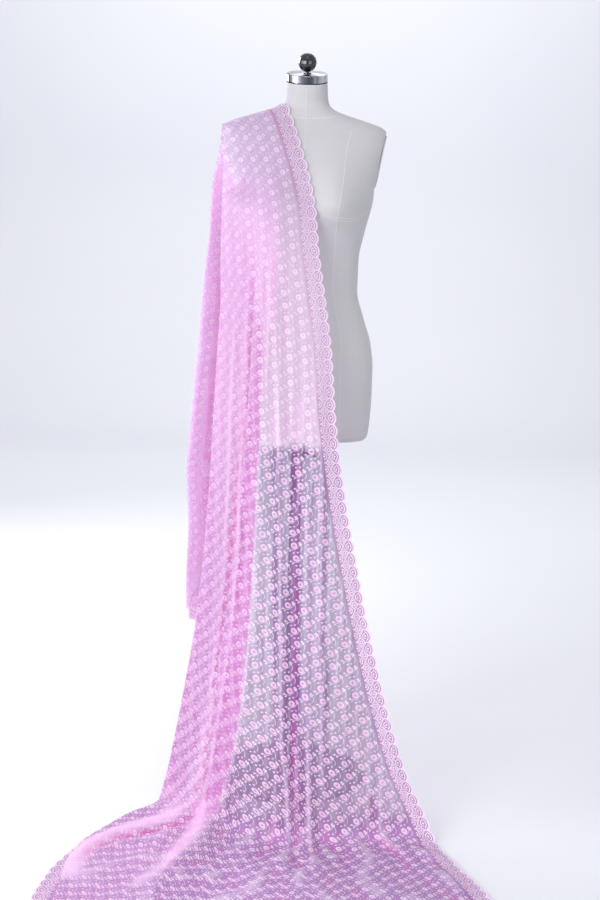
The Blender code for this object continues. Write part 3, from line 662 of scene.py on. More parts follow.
def grid_normals(points):
    return unit(np.cross(np.gradient(points, axis=1), np.gradient(points, axis=0)))


# ---------------------------------------------------------------- node trees
class Web:
    """A material's node tree. Each call adds a node and gives its output."""

    def __init__(self, name):
        self.made = bpy.data.materials.new(name)
        self.made.use_nodes = True
        self.tree = self.made.node_tree
        self.tree.nodes.clear()

    def join(self, value, socket):
        if isinstance(value, bpy.types.NodeSocket):
            self.tree.links.new(value, socket)
        elif value is not None:
            socket.default_value = value

    def add(self, kind, inputs=None, **settings):
        made = self.tree.nodes.new("ShaderNode" + kind)
        for key, value in settings.items():
            setattr(made, key, value)
        for key, value in (inputs or {}).items():
            self.join(value, made.inputs[key])
        return made.outputs

    def node(self, kind, inputs=None, **settings):
        return self.add(kind, inputs, **settings)[0]

    def op(self, operation, a, b=None, c=None, clamp=False):
        return self.node("Math", {0: a, 1: b, 2: c}, operation=operation, use_clamp=clamp)

    def plus(self, a, b):
        return self.op("ADD", a, b)

    def minus(self, a, b):
        return self.op("SUBTRACT", a, b)

    def times(self, a, b, clamp=False):
        return self.op("MULTIPLY", a, b, clamp=clamp)

    def fit(self, value, scale, shift, clamp=False):
        return self.op("MULTIPLY_ADD", value, scale, shift, clamp)

    def size(self, value):
        return self.op("ABSOLUTE", value)

    def near(self, value, middle, half):
        """Positive where a value is within half of a middle."""
        return self.minus(half, self.size(self.minus(value, middle)))

    def largest(self, fields):
        total = fields[0]
        for field in fields[1:]:
            total = self.op("MAXIMUM", total, field)
        return total

    def vec(self, operation, a, b=None, scale=None):
        inputs = {0: a, 1: b} if scale is None else {0: a, "Scale": scale}
        made = self.add("VectorMath", inputs, operation=operation)
        return made[1 if operation in ("LENGTH", "DISTANCE", "DOT_PRODUCT") else 0]

    def blend(self, share, a, b):
        return self.add("Mix", {0: share, 6: a, 7: b}, data_type="RGBA")[2]

    def attribute(self, name):
        return self.add("Attribute", attribute_name=name)[2]

    def flat(self):
        """The flat place in the cloth, in metres."""
        return self.node("UVMap", uv_map="metres")

    def spot(self):
        """The place on the object, in metres."""
        return self.add("TexCoord")[3]

    def noise(self, place, scale, detail):
        return self.node("TexNoise", {"Vector": place, "Scale": scale, "Detail": detail})

    def bump(self, strength, distance, height):
        inputs = {"Strength": strength, "Distance": distance, "Height": height}
        return self.node("Bump", inputs)

    def skin(self, tone, rough, bump=None, **others):
        """A Principled surface. Its other sockets are named with _ for a space."""
        inputs = {"Base Color": tone, "Roughness": rough, "Normal": bump}
        inputs.update({key.replace("_", " "): value for key, value in others.items()})
        return self.node("BsdfPrincipled", inputs)

    def finish(self, surface):
        self.add("OutputMaterial", {"Surface": surface})
        return self.made


NET_CELL = 0.00135
NET_THREAD, NET_HOLE = 0.72, 0.54  # how much it covers on a thread and in a hole
LACE_HOLE = NET_HOLE + 0.14
STITCH_COVER = 0.97
LET_THROUGH = 0.38  # share of the light that the cloth lets through and scatters
MM = REPEAT * 1000
FIELD_HALF = 15.4  # how far the flowers reach from the cloth's middle, in repeats
LAYER_SHIFT = (0.0112, 0.0083, 0)  # of the embroidery on the layer beneath
FLOWER_DOTS = (
    # x, y, radius in millimetres
    (-10.3, 4.6, 1.9), (-7.6, 9.8, 1.7), (-2.4, -12.2, 1.8), (4.6, -12.0, 1.7),
    (9.6, -4.8, 2.0), (12.0, -1.6, 1.9), (9.4, 0.6, 1.5),
)
LACE_MIDDLE = 14.0  # middle of the border's pattern, in millimetres from its inner edge


def colour(r, g, b):
    """A colour given as it looks on a screen, 0 to 255, as light."""
    made = []
    for value in (r, g, b):
        value /= 255
        made.append(value / 12.92 if value <= 0.04045 else ((value + 0.055) / 1.055) ** 2.4)
    return (*made, 1.0)


def disc(web, spot, x, y, radius):
    """Positive inside a round spot, in millimetres from its rim."""
    return web.minus(radius, web.vec("DISTANCE", spot, (x, y, 0)))


def arc(web, spot, x, y, radius, half, side):
    """A thin line along a circle, kept where spot . side is over side's last number."""
    line = web.near(web.vec("DISTANCE", spot, (x, y, 0)), radius, half)
    keep = web.minus(web.vec("DOT_PRODUCT", spot, (side[0], side[1], 0)), side[2])
    return web.op("MINIMUM", line, keep)


def honeycomb(web, flat, hole):
    """How much the fine net covers: from hole, in its holes, to more on its threads."""
    found = []
    for turn in (0, 60, 120):
        pace, turn = 2 * math.pi / NET_CELL, math.radians(turn)
        way = (pace * math.cos(turn), pace * math.sin(turn), 0)
        found.append(web.op("COSINE", web.vec("DOT_PRODUCT", flat, way)))
    total = web.plus(web.plus(found[0], found[1]), found[2])
    return web.fit(web.fit(total, -0.9, 0.35, True), NET_THREAD - NET_HOLE, hole)


def cloth_finish(web, stitch, satin, inner, net, below=None):
    """Sheer cloth: threads that reflect and let light through, and nothing between them. Satin is
    the run of the stitches, from 0 to 1 across each thread, inner says where they are a deeper
    pink, and below is the embroidery of the layer beneath, which shows through."""
    alpha = web.op("MAXIMUM", net, web.times(stitch, STITCH_COVER))
    veil = web.attribute("veil")
    thread = web.node("Attribute", attribute_name="shade")
    # the stitches are lighter where satin is high, on the crown of each thread: a painted sheen
    sewn = web.blend(satin, colour(254, 224, 251), colour(255, 242, 255))
    if inner is not None:
        sewn = web.blend(web.times(inner, 0.68), sewn, colour(240, 160, 218))
    if below is not None:
        sewn = web.blend(web.times(web.attribute("layers"), 0.38), sewn, colour(238, 184, 234))
        thread = web.blend(below, thread, colour(250, 218, 248))
    tone = web.blend(web.times(stitch, 0.90), thread, sewn)
    height = web.times(stitch, web.fit(satin, 0.35, 0.65))
    bump = web.bump(0.7, 0.0007, height)
    front = web.skin(
        tone, web.fit(height, -0.20, 0.62), bump,
        Specular_IOR_Level=0.3, Sheen_Weight=0.2, Sheen_Roughness=0.4,
    )
    through = web.node("BsdfTranslucent", {"Color": tone, "Normal": bump})
    cloth = web.node("MixShader", {0: LET_THROUGH, 1: front, 2: through})
    clear = web.node("BsdfTransparent")
    cover = web.times(alpha, veil, True)
    return web.finish(web.node("MixShader", {0: cover, 1: clear, 2: cloth}))


def wave(web, value, pace):
    """0 to 1 and back along a value, pace times for each unit of it."""
    return web.fit(web.op("COSINE", web.times(value, 2 * math.pi * pace)), 0.5, 0.5)


def flower_place(web, flat, shift):
    """Where a point is from the middle of the nearest flower, in millimetres, and its column."""
    repeats = web.vec("SCALE", web.vec("ADD", flat, shift), scale=1 / REPEAT)
    split = web.add("SeparateXYZ", {0: repeats})
    i = web.op("ROUND", split[0])
    h = web.fit(i, -0.5, split[1])
    x = web.times(web.minus(i, split[0]), MM)
    y = web.times(web.minus(h, web.op("ROUND", h)), MM)
    return web.node("CombineXYZ", {0: x, 1: y}), x, y, i


def flower(web, spot, dots, stem, twig):
    """A ringed flower with its dots and two curved stems of those half widths. Gives its field,
    which is positive on it, and how far out a point is."""
    tilted = web.node("VectorRotate", {"Vector": spot, "Angle": 0.30}, rotation_type="Z_AXIS")
    egg = web.vec("LENGTH", web.vec("MULTIPLY", tilted, (1.18, 0.94, 1.0)))
    parts = [web.near(egg, 3.75, 2.35)] + [disc(web, spot, *row) for row in dots]
    parts.append(arc(web, spot, -1.5, -2.5, 10.6, stem, (0.0, 1.0, 3.0)))
    parts.append(arc(web, spot, 3.5, 6.0, 9.4, twig, (1.0, 0.0, 6.5)))
    return web.largest(parts), egg


def net_material():
    web = Web("embroidered_net")
    flat = web.flat()
    spot, x, y, i = flower_place(web, flat, (0, 0, 0))
    field, egg = flower(web, spot, FLOWER_DOTS, 0.55, 0.50)
    # flowers only in the field, clear of the borders
    inside = web.op("COMPARE", i, REPEATS / 2, FIELD_HALF)
    inside = web.times(inside, web.fit(web.attribute("rim"), 400.0, -6.0, True), True)
    stitch = web.times(web.fit(field, 2.2, 0.5, True), inside)
    # the same embroidery on the layer beneath
    lower = flower_place(web, flat, LAYER_SHIFT)[0]
    below = web.fit(flower(web, lower, FLOWER_DOTS[::2], 0.7, 0.7)[0], 1.4, 0.5, True)
    below = web.times(below, web.times(web.attribute("layers"), 0.5))
    net = web.times(honeycomb(web, flat, NET_HOLE), web.attribute("gather"), True)
    # the run of the stitches: spokes around a flower, and slanted rows elsewhere
    around = web.op("ARCTAN2", web.plus(x, 0.3), web.plus(y, 0.2))
    near = web.op("LESS_THAN", egg, 7.2)
    rest = web.times(wave(web, web.plus(x, y), 1.6), web.minus(1.0, near))
    satin = web.plus(web.times(wave(web, around, 22 / math.pi), near), rest)
    inner = web.fit(egg, -1.1, 5.2, True)
    inner = web.times(inner, web.fit(web.attribute("deep"), 0.86, 0.14))
    return cloth_finish(web, stitch, satin, inner, net, below)


def lace_material():
    web = Web("scalloped_border")
    flat = web.flat()
    split = web.add("SeparateXYZ", {0: flat})
    # millimetres across from the pattern's middle, and along from a notch and from a scallop's top
    q = web.fit(split[0], 1000.0, -LACE_MIDDLE)
    phase = web.times(split[1], 1 / REPEAT)
    s = web.times(web.size(web.minus(phase, web.op("ROUND", phase))), MM)
    t = web.minus(MM / 2, s)
    side = web.size(q)
    fold = web.node("CombineXYZ", {0: side, 1: t})
    # the diamond ring and its middle, which sit where two scallops meet
    parts = [
        web.near(web.plus(web.times(side, 1.24), s), 9.0, 1.10),
        web.near(web.vec("DISTANCE", fold, (0.0, MM / 2, 0)), 3.0, 1.05),
        disc(web, fold, 11.1, MM / 2, 1.7),
    ]
    # the bars that cross between the rings
    bar = web.minus(0.85, web.size(web.vec("DOT_PRODUCT", fold, (0.823, -0.567, 0))))
    parts.append(web.op("MINIMUM", bar, web.minus(9.6, side)))
    # the fans in and opposite each scallop
    parts.append(disc(web, fold, 11.2, 0.0, 2.2))
    parts.append(arc(web, fold, 11.6, 0.0, 5.7, 1.05, (-1.0, -0.25, -13.4)))
    # the satin edge along the scallops
    radius = SCALLOP_RADIUS * 1000
    middle = (BORDER + SCALLOP_OUT) * 1000 - LACE_MIDDLE - radius
    signed = web.node("CombineXYZ", {0: q, 1: t})
    parts.append(arc(web, signed, middle, 0.0, radius - 7.0, 1.2, (1.0, 0.0, 11.5)))
    edge = web.minus(web.vec("DISTANCE", signed, (middle, 0, 0)), radius - 3.7)
    parts.append(web.op("MINIMUM", edge, web.minus(q, 9.0)))
    stitch = web.fit(web.largest(parts), 2.2, 0.5, True)
    satin = wave(web, web.plus(web.times(q, 0.25), s), 1.5)
    return cloth_finish(web, stitch, satin, None, honeycomb(web, flat, LACE_HOLE))


def jersey_material(name, first, second):
    web = Web(name)
    spot = web.spot()
    knit = web.noise(spot, 900.0, 2.0)
    tone = web.blend(web.noise(spot, 14.0, 3.0), first, second)
    tone = web.blend(web.times(knit, 0.35), tone, colour(208, 207, 211))
    bump = web.bump(0.30, 0.0005, knit)
    return web.finish(web.skin(
        tone, web.fit(knit, 0.12, 0.78), bump,
        Specular_IOR_Level=0.25, Sheen_Weight=0.30, Sheen_Roughness=0.5,
    ))


def metal_material(name, tone, rough, metallic, coat):
    web = Web(name)
    spot = web.spot()
    smudge = web.noise(spot, 38.0, 3.0)
    bump = web.bump(0.05, 0.0002, web.noise(spot, 700.0, 1.0))
    dull = tuple(v * 0.86 for v in tone[:3]) + (1.0,)
    return web.finish(web.skin(
        web.blend(smudge, dull, tone), web.fit(smudge, rough * 0.7, rough * 0.65), bump,
        Metallic=metallic, Coat_Weight=coat, Coat_Roughness=0.05,
    ))


def ground_material():
    web = Web("pale_ground")
    tone = web.noise(web.spot(), 0.8, 2.0)
    tone = web.blend(tone, colour(208, 209, 215), colour(213, 214, 219))
    return web.finish(web.skin(tone, 0.7, Specular_IOR_Level=0.2))


PAINTED_REFLECTION_BANDS = (
    # share of a turn around the cap, grey of the painted reflection there
    (0.00, 150), (0.20, 110), (0.30, 74), (0.36, 88), (0.40, 232), (0.445, 242), (0.465, 104),
    (0.53, 84), (0.56, 134), (0.59, 250), (0.66, 244), (0.69, 102), (0.80, 124), (1.00, 150),
)


def chrome_with_painted_reflections():
    """Polished chrome with a painted reflection: upright bright and dark bands painted around it,
    as a studio would show in it.
    """
    web = Web("cap_chrome")
    spot = web.spot()
    split = web.add("SeparateXYZ", {0: spot})
    turn = web.op("ARCTAN2", split[0], web.times(split[1], -1.0))
    ramp = web.tree.nodes.new("ShaderNodeValToRGB")
    stops = ramp.color_ramp.elements
    for k, (place, tone) in enumerate(PAINTED_REFLECTION_BANDS):
        stop = stops[k] if k < 2 else stops.new(place)
        stop.position = place
        stop.color = colour(tone, tone + 2, min(255, tone + 9))
    web.join(web.fit(turn, 0.5 / math.pi, 0.5), ramp.inputs[0])
    rough = web.fit(web.noise(spot, 60.0, 3.0), 0.06, 0.08)
    return web.finish(web.skin(ramp.outputs[0], rough, Metallic=1.0))


NET = net_material()
LACE = lace_material()
JERSEY = jersey_material("form_jersey", colour(172, 171, 174), colour(182, 181, 184))
PLATE = jersey_material("arm_cover_cloth", colour(182, 181, 185), colour(190, 189, 193))
SEAM = jersey_material("seam_thread", colour(190, 188, 188), colour(200, 198, 197))
CHROME = chrome_with_painted_reflections()
BLACK = metal_material("finial_black", colour(44, 44, 50), 0.16, 0.45, 0.8)
STAND = metal_material("stand_black", colour(150, 148, 158), 0.36, 0.5, 0.3)
BASE = metal_material("base_satin", colour(150, 151, 158), 0.46, 0.3, 0.1)
GROUND = ground_material()


# ---------------------------------------------------------------- the cloth
# colours of the threads, as they look on a screen, and of the painted highlights and painted shade
# on them
SINGLE, SINGLE_LOW = (116, 80, 138), (158, 116, 164)
DENSE, DENSE_LOW, DENSE_HIGH = (206, 158, 207), (194, 142, 196), (224, 185, 225)
BAND, ON_FORM, CHEST, HIDDEN = (210, 142, 204), (236, 208, 236), (210, 188, 220), (238, 188, 234)
# the first, second and fourth colours on this line are painted shade: in creases, in troughs and
# hollows, and on the tail
PAINTED_CREASE_SHADE, PAINTED_TROUGH_SHADE, STRONG, PAINTED_TAIL_SHADE = (212, 100, 178), (208, 112, 188), (244, 204, 244), (255, 176, 238)
# on this line the first colour is a painted highlight on the rolled edge and also the doubled
# band's own paler tone, and the last is a painted highlight
ROLL_HIGHLIGHT_AND_DOUBLED_TONE, LILAC, FLOOR, PAINTED_HIGHLIGHT = (250, 208, 246), (230, 202, 240), (182, 135, 194), (255, 238, 254)
LACE_NET = (176, 116, 172)


def all_one(points, tone):
    return np.ones(points.shape[:2] + (1,)) * np.array(colour(*tone))


def over(base, other, share):
    """Colours laid over others by a share for each point."""
    return base + (np.array(colour(*other)) - base) * share[..., None]


def paint(points, places, pleats):
    """The colour of the threads at each point, lilac where the net lies single and pinker in its
    layers, with painted highlights on ridges, wrinkles and the rolled edge and painted shade in
    creases, troughs, hollows and on the tail; with how gathered it is, where it lies single and
    where in layers."""
    x, y, z = points[..., 0], points[..., 1], points[..., 2]
    lay = stole.plain.at(places.ravel()).reshape(places.shape + (-1,))
    left, right, fold, turn = (lay[..., k] for k in range(4))
    flat = points.reshape(-1, 3)

    def sum_of(group, narrow):
        return sum(line_share(flat, line, narrow) for line in group).reshape(x.shape)

    tail = 1 - step(stole.tail_top, stole.top, places)
    low = step(stole.top + 0.06, stole.fall_top + 0.16, places)
    lying = 1 - step(0.0, 0.05, z)
    hanging = 1 - lying
    inward = x - left
    single = low * step(turn - 0.004, turn + 0.012, x) * (1 - step(0.786, 0.812, z))
    dense = low * (1 - step(turn - 0.010, turn + 0.004, x))
    doubled = low * (1 - step(turn - 0.004, turn + 0.004, x)) * step(fold, fold + 0.010, x)
    # painted shade in the crease just left of the front fold
    beside = (fold - 0.006 - x) / 0.007
    beside = low * (pleats == 2) * np.exp(-beside * beside) * hanging
    # where the tail gets painted shade, a deeper pink away from its left edge
    tail_shade = step(0.020, 0.042, inward) * (1 - step(0.95, 1.20, z)), step(0.010, 0.036, inward)
    # along the ridges, for a painted highlight and more thread, and along the troughs, for painted
    # shade and more thread
    pale, deep = sum_of(RIDGES, 0.30), sum_of(TROUGHS, 0.60)
    # the fine upright wrinkles: painted highlight on their crests and painted shade in their
    # hollows
    fine = streaks(x, z) * hanging * (1 - step(1.12, 1.32, z))
    # the train's wrinkles: painted highlight on their crests and painted shade in their hollows
    rise = floor_waves(x, y) * 1.6
    # the rolled edge of the train, which gets a painted highlight
    gap, height, _ = near_line(flat, ROLL_LINE)
    roll = (np.exp(-((gap / 0.024) ** 4)) * step(0.0, 0.003, height)).reshape(x.shape)
    band = line_height(flat, BAND_LINE).reshape(x.shape) * (1 - step(0.02, 0.07, z))
    shade = all_one(points, ON_FORM)
    for tone, share in (
        (CHEST, step(1.18, 1.42, z)),
        (SINGLE, single),
        (SINGLE_LOW, single * (1 - step(0.06, 0.34, z)) * 0.6),
        (DENSE, dense),
        (DENSE_HIGH, dense * step(0.55, 1.00, z)),
        (DENSE_LOW, dense * (1 - step(0.10, 0.60, z)) * 0.8),
        (BAND, doubled),
        (HIDDEN, (pleats >= 3) * np.ones_like(z)),
        (FLOOR, lying * np.where(x > fold - 0.03, 0.9, 0.75)),
        # painted shade in the crease beside the front fold
        (PAINTED_CREASE_SHADE, 0.62 * beside),
        (STRONG, tail * step(0.004, 0.020, inward)),
        # painted shade on the tail, a deeper pink
        (PAINTED_TAIL_SHADE, tail * tail_shade[0] * 0.85),
        (PAINTED_TAIL_SHADE, tail * tail_shade[1] * step(0.90, 1.10, z) * 0.40),
        (LILAC, tail * (1 - step(-0.002, 0.010, inward))),
        # painted highlight on the ridges and painted shade in the troughs
        (PAINTED_HIGHLIGHT, np.clip(pale, 0, 1) * 0.40),
        (PAINTED_TROUGH_SHADE, np.clip(deep, 0, 1) * mix(0.40, 0.80, lying)),
        # painted highlight and painted shade of the fine wrinkles, then of the train's wrinkles
        (PAINTED_HIGHLIGHT, np.clip(fine, 0, 1) * 0.40),
        (PAINTED_CREASE_SHADE, np.clip(-fine, 0, 1) * 0.25),
        (PAINTED_HIGHLIGHT, lying * np.clip(rise - 0.4, 0, 1) * 0.40),
        (PAINTED_TROUGH_SHADE, lying * np.clip(-rise - 0.4, 0, 1) * 0.40),
        # painted highlight on the rolled edge, then the doubled band's own paler tone
        (ROLL_HIGHLIGHT_AND_DOUBLED_TONE, roll * (1 - step(0.03, 0.09, z)) * 0.9),
        (ROLL_HIGHLIGHT_AND_DOUBLED_TONE, np.clip(band * 1.3, 0, 1) * 0.75),
        # painted shade in the crease on the train's left
        (PAINTED_CREASE_SHADE, line_share(flat, TROUGHS[2], 1.2).reshape(x.shape)),
    ):
        shade = over(shade, tone, share)
    if pleats.min() == 0:
        # painted shade in the tuck along the inner edge of the right border, near the shoulder
        tuck_shade_line = (x - right + BORDER_LEVEL + 0.003) / 0.0035
        high = step(1.26, 1.37, z) * step(stole.top - 0.06, stole.top, places)
        shade = over(shade, PAINTED_CREASE_SHADE, 0.38 * high * (pleats == 0) * np.exp(-tuck_shade_line * tuck_shade_line))
    layers = dense * mix(1.0, 0.2, lying) + 0.5 * tail + 0.25 * (1 - low) * (1 - tail)
    gathered = np.clip(pale + 1.5 * deep + 0.8 * roll + 0.8 * band, 0, 1.5)
    return shade, gathered, single * hanging, np.clip(layers, 0, 1)


def thinness(places, pleats):
    """How much of the thread is there: the layers pressed over the shoulder count as one or two."""
    high = step(stole.tail_top, stole.top, places)
    high = high * (1 - step(stole.top + 0.10, stole.fall_top + 0.16, places))
    return mix(1.0, np.where(pleats >= 3, 0.03, 0.92), high)


def add_net(name, rows, replaced):
    """One stretch of the net between the two side borders."""
    points = stole.grid(rows)
    uv = np.stack(chart.at(rows), -1)
    places = rows if rows.ndim == 2 else np.repeat(rows[:, None], len(PLAN), axis=1)
    pleats = np.array([column[0] for column in PLAN])[None, :]
    rim = np.minimum(places - HEM[None, :], stole.end - places) - BORDER
    normal = grid_normals(points)
    lying = 1 - step(0.0, 0.06, points[..., 2])
    facing = mix(np.abs(normal[..., 1]), np.abs(normal[..., 2]), lying)
    shade, gathered, single, layers = paint(points, places, pleats)
    gather = (1.0 + 0.9 * gathered + 0.25 * lying) / np.clip(facing, 0.42, 1.0)
    extra = (
        ("veil", thinness(places, pleats)), ("shade", shade), ("gather", gather),
        ("rim", rim), ("deep", single), ("layers", layers),
    )
    made = grid_mesh(name, points, uv, NET, extra, normal)
    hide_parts(*replaced)
    return made


def even(low, high, spacing):
    """Places about one spacing apart, with both ends."""
    return np.linspace(low, high, max(2, int(round((high - low) / spacing)) + 1))


def scallop_edge(phase):
    """How far out the scalloped edge is at a phase in repeats, with notches at whole numbers."""
    off = (np.abs(phase - np.round(phase)) - 0.5) * REPEAT
    bulge = np.sqrt(SCALLOP_RADIUS**2 - off**2) - (SCALLOP_RADIUS - SCALLOP_DEEP)
    return SCALLOP_OUT - SCALLOP_DEEP + bulge


def strip_outs(phases):
    """How far out each column of a strip is, from just inside the field to the scallops."""
    edge = scallop_edge(phases)
    shares = [mix(-0.04, 1.0, k / (STRIP_COLUMNS - 1)) for k in range(STRIP_COLUMNS)]
    return [share * (BORDER + edge) for share in shares]


def add_strip(name, points, uv, veil, shade, normal, replaced):
    made = grid_mesh(name, points, uv, LACE, (("veil", veil), ("shade", shade)), normal)
    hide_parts(*replaced)
    return made


def side_strip(name, side, low, high, replaced, first):
    """The scalloped border along the right or left selvedge, from one place to another."""
    on_right = side == "right"
    column = 0 if on_right else len(PLAN) - 1
    known = np.linspace(HEM[column] if first else low, high, STRIP_SAMPLES)
    along = np.interp(known, chart.places, chart.along[:, column])
    if first:
        along = np.maximum.accumulate(along + np.linspace(0, 1e-9, len(along)))
    from_phase = math.ceil(along[0] / REPEAT * SCALLOP_ROWS) / SCALLOP_ROWS
    to_phase = math.floor(along[-1] / REPEAT * SCALLOP_ROWS) / SCALLOP_ROWS
    phases = np.arange(from_phase, to_phase + 0.5 / SCALLOP_ROWS, 1 / SCALLOP_ROWS)
    phases = np.unique(np.concatenate([[along[0] / REPEAT], phases, [along[-1] / REPEAT]]))
    phases = phases[np.concatenate([[True], np.diff(phases) > 1e-4])]
    where = np.interp(phases * REPEAT, along, known)
    lay = stole.layout(where)
    points, uv = [], []
    for out in strip_outs(phases):
        if on_right:
            x = lay["right"] - BORDER_LEVEL + out * BORDER_LEVEL / BORDER
        else:
            x = lay["turns"][:, -1] + BORDER - out
        points.append(stole.place_on(lay, x, lay["levels"][:, 0 if on_right else -1], on_right))
        uv.append(np.stack([out, phases * REPEAT], 1))
    points, uv = np.stack(points, 1), np.stack(uv, 1)
    if on_right:
        points, uv = points[:, ::-1], uv[:, ::-1]
    normal = grid_normals(points)
    points = points + normal * (STRIP_LIFT if on_right else -STRIP_LIFT)
    places = np.repeat(where[:, None], STRIP_COLUMNS, axis=1)
    pleats = np.array([[0 if on_right else FOLDS]])
    front = step(stole.tail_top, stole.top, places)
    strong = mix(0.80, 0.45, step(0.70, 1.05, points[..., 2]))
    shade = over(paint(points, places, pleats)[0], LACE_NET, strong * front)
    veil = thinness(places, pleats)
    if not on_right:
        veil = veil * mix(0.14, 1.0, step(stole.tail_top, stole.fall_top, places))
    return add_strip(name, points, uv, veil, shade, normal, replaced)


def end_strip(name, at_tail, replaced):
    """The scalloped border along one end of the cloth, between the two side borders."""
    offsets = np.linspace(-SCALLOP_OUT, BORDER + 0.0015, 10)
    ends = HEM if at_tail else np.full(len(PLAN), stole.end)
    sign = 1.0 if at_tail else -1.0
    rows = np.stack([ends + sign * max(offset, 0.0) for offset in offsets])
    points = stole.grid(rows)
    if at_tail:
        points[0] += (points[0] - points[1]) * (SCALLOP_OUT / (offsets[1] - offsets[0]))
    else:
        points[0] = points[0] + np.array([0.0, -SCALLOP_OUT, 0.0])
    across = chart.at(rows)[0][3]
    count = int(round((CLOTH_WIDTH - 2 * BORDER) / REPEAT))
    phases = np.linspace(0, count, count * SCALLOP_ROWS + 1)
    wanted = BORDER + phases / count * (CLOTH_WIDTH - 2 * BORDER)
    base = np.stack([
        np.stack([np.interp(wanted, across, row[:, k]) for k in range(3)], 1) for row in points
    ])
    made_rows, uv = [], []
    columns = np.arange(len(phases))
    for out in strip_outs(phases):
        place = np.interp(BORDER - out, offsets, np.arange(len(offsets)))
        low = np.clip(np.floor(place).astype(int), 0, len(offsets) - 2)
        part = (place - low)[:, None]
        made_rows.append(mix(base[low, columns], base[low + 1, columns], part))
        uv.append(np.stack([out, phases * REPEAT], 1))
    points, uv = np.stack(made_rows, 1), np.stack(uv, 1)
    normal = grid_normals(points)
    if not at_tail:
        points = points + np.array([0.0, 0.0, STRIP_LIFT])
    shade = all_one(points, HIDDEN if at_tail else LACE_NET)
    return add_strip(name, points, uv, np.ones(points.shape[:2]), shade, normal, replaced)


def build_cloth():
    """The four stretches of the net, and the strips of border that go with each."""
    share = np.linspace(0.0, 1.0, int((stole.tail_top - HEM.min()) / TAIL_STEP))[:, None]
    tail_rows = mix((HEM + BORDER)[None, :], stole.tail_top, share)
    shoulder_rows = even(stole.tail_top, stole.fall_top, SHOULDER_STEP)
    fall_rows = even(stole.fall_top, stole.fall_foot, FALL_STEP)
    train_rows = even(stole.fall_foot, stole.end - BORDER, TRAIN_STEP)
    nets = {
        "tail": add_net("net_tail", tail_rows, ["tail_panel"]),
        "shoulder": add_net("net_shoulder", shoulder_rows, ["shoulder_pleats"]),
        "fall": add_net("net_fall", fall_rows, ["fall_panel"]),
        "train": add_net("net_train", train_rows, ["train_panel"]),
    }
    cuts = (0.0, stole.tail_top, stole.fall_top, stole.fall_foot, stole.end)
    strips = {}
    for stretch, low, high in zip(nets, cuts, cuts[1:]):
        strips[stretch] = []
        for side in ("right", "left"):
            node = f"{stretch}_border_{side}"
            if stretch == "shoulder":
                node = "shoulder_border" if side == "right" else "shoulder_pleats"
            name = f"border_{stretch}_{side}"
            strip = side_strip(name, side, low, high, [node], stretch == "tail")
            strips[stretch].append(strip)
    strips["tail"].append(end_strip("border_tail_end", True, ["tail_border_end"]))
    strips["train"].append(end_strip("border_train_end", False, ["train_border_end"]))
    return nets, strips


# ---------------------------------------------------------------- the form and its stand
def build_form():
    """The torso as rings of points from its closed foot to its neck."""
    rows = TORSO_ROWS[:, 0]
    heights = []
    for low, high in zip(rows, rows[1:]):
        count = max(1, int(math.ceil((high - low) / FORM_STEP)))
        if high > SHOULDER_EDGE:
            count *= 2
        heights += [mix(low, high, i / count) for i in range(count)]
    heights.append(rows[-1])
    turn = 2 * math.pi * (np.arange(FORM_SIDES) + 0.5) / FORM_SIDES
    rings = np.stack([form_at(np.full(FORM_SIDES, z), turn) for z in heights])
    middle = np.array([0, rings[0].mean(0)[1], TORSO_FOOT])
    under = np.stack([mix(rings[0], middle, share) for share in (0.97, 0.6, 0.03)])
    under[..., 2] = TORSO_FOOT
    rings = np.concatenate([under[::-1], rings])
    angle = np.linspace(0, 1, FORM_SIDES, endpoint=False)
    level = np.linspace(0, 1, len(rings))
    uv = np.stack(np.meshgrid(angle, level), -1)
    made = grid_mesh("form_body", rings, uv, JERSEY, closed=True)
    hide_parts("torso")


def turn_at(x, z, behind=False):
    """The turn around the form at which its surface has that x."""
    half = torso_sizes(z)[0]
    turn = np.arccos(np.sign(x) * np.clip(np.abs(x) / half, 0, 1) ** (SHELL_POWER / 2))
    return turn if behind else -turn


SEAM_WIDTH, SEAM_HEIGHT = 0.0019, 0.0005
SEAM_FOOT, SEAM_TOP = 0.792, 1.556
BACK_SEAM_SHARE = 0.86  # how far out the back's princess seams are, of the front's
UNDER_BUST_BAND = 0.005  # between the two seams under the bust
PRINCESS = (
    # z, x
    (0.7920, 0.0890), (0.8191, 0.0896), (0.9286, 0.0892), (1.0037, 0.0892), (1.0610, 0.0789),
    (1.1420, 0.0679), (1.2640, 0.0718), (1.3410, 0.0819), (1.4162, 0.0890), (1.4601, 0.0989),
)
UNDER_BUST = (
    # x, z
    (0.0000, 1.3050), (0.0244, 1.2915), (0.0481, 1.2735), (0.0780, 1.2663), (0.1085, 1.2679),
    (0.1380, 1.2860),
)


def seam(z, turn):
    """A raised seam: a thin crowned ribbon along a line of the form's surface."""
    z, turn = np.asarray(z, float), np.asarray(turn, float)
    middle = form_at(z, turn)
    tiny = 1e-4
    around = form_at(z, turn + tiny) - form_at(z, turn - tiny)
    upward = form_at(z + tiny, turn) - form_at(z - tiny, turn)
    normal = unit(np.cross(around, upward))
    across = unit(np.cross(np.gradient(middle, axis=0), normal))
    rows = []
    for place, up in ((-1.0, -0.25), (-0.6, 0.7), (0.0, 1.0), (0.6, 0.7), (1.0, -0.25)):
        rows.append(middle + across * place * SEAM_WIDTH / 2 + normal * up * SEAM_HEIGHT)
    return np.stack(rows, 1)


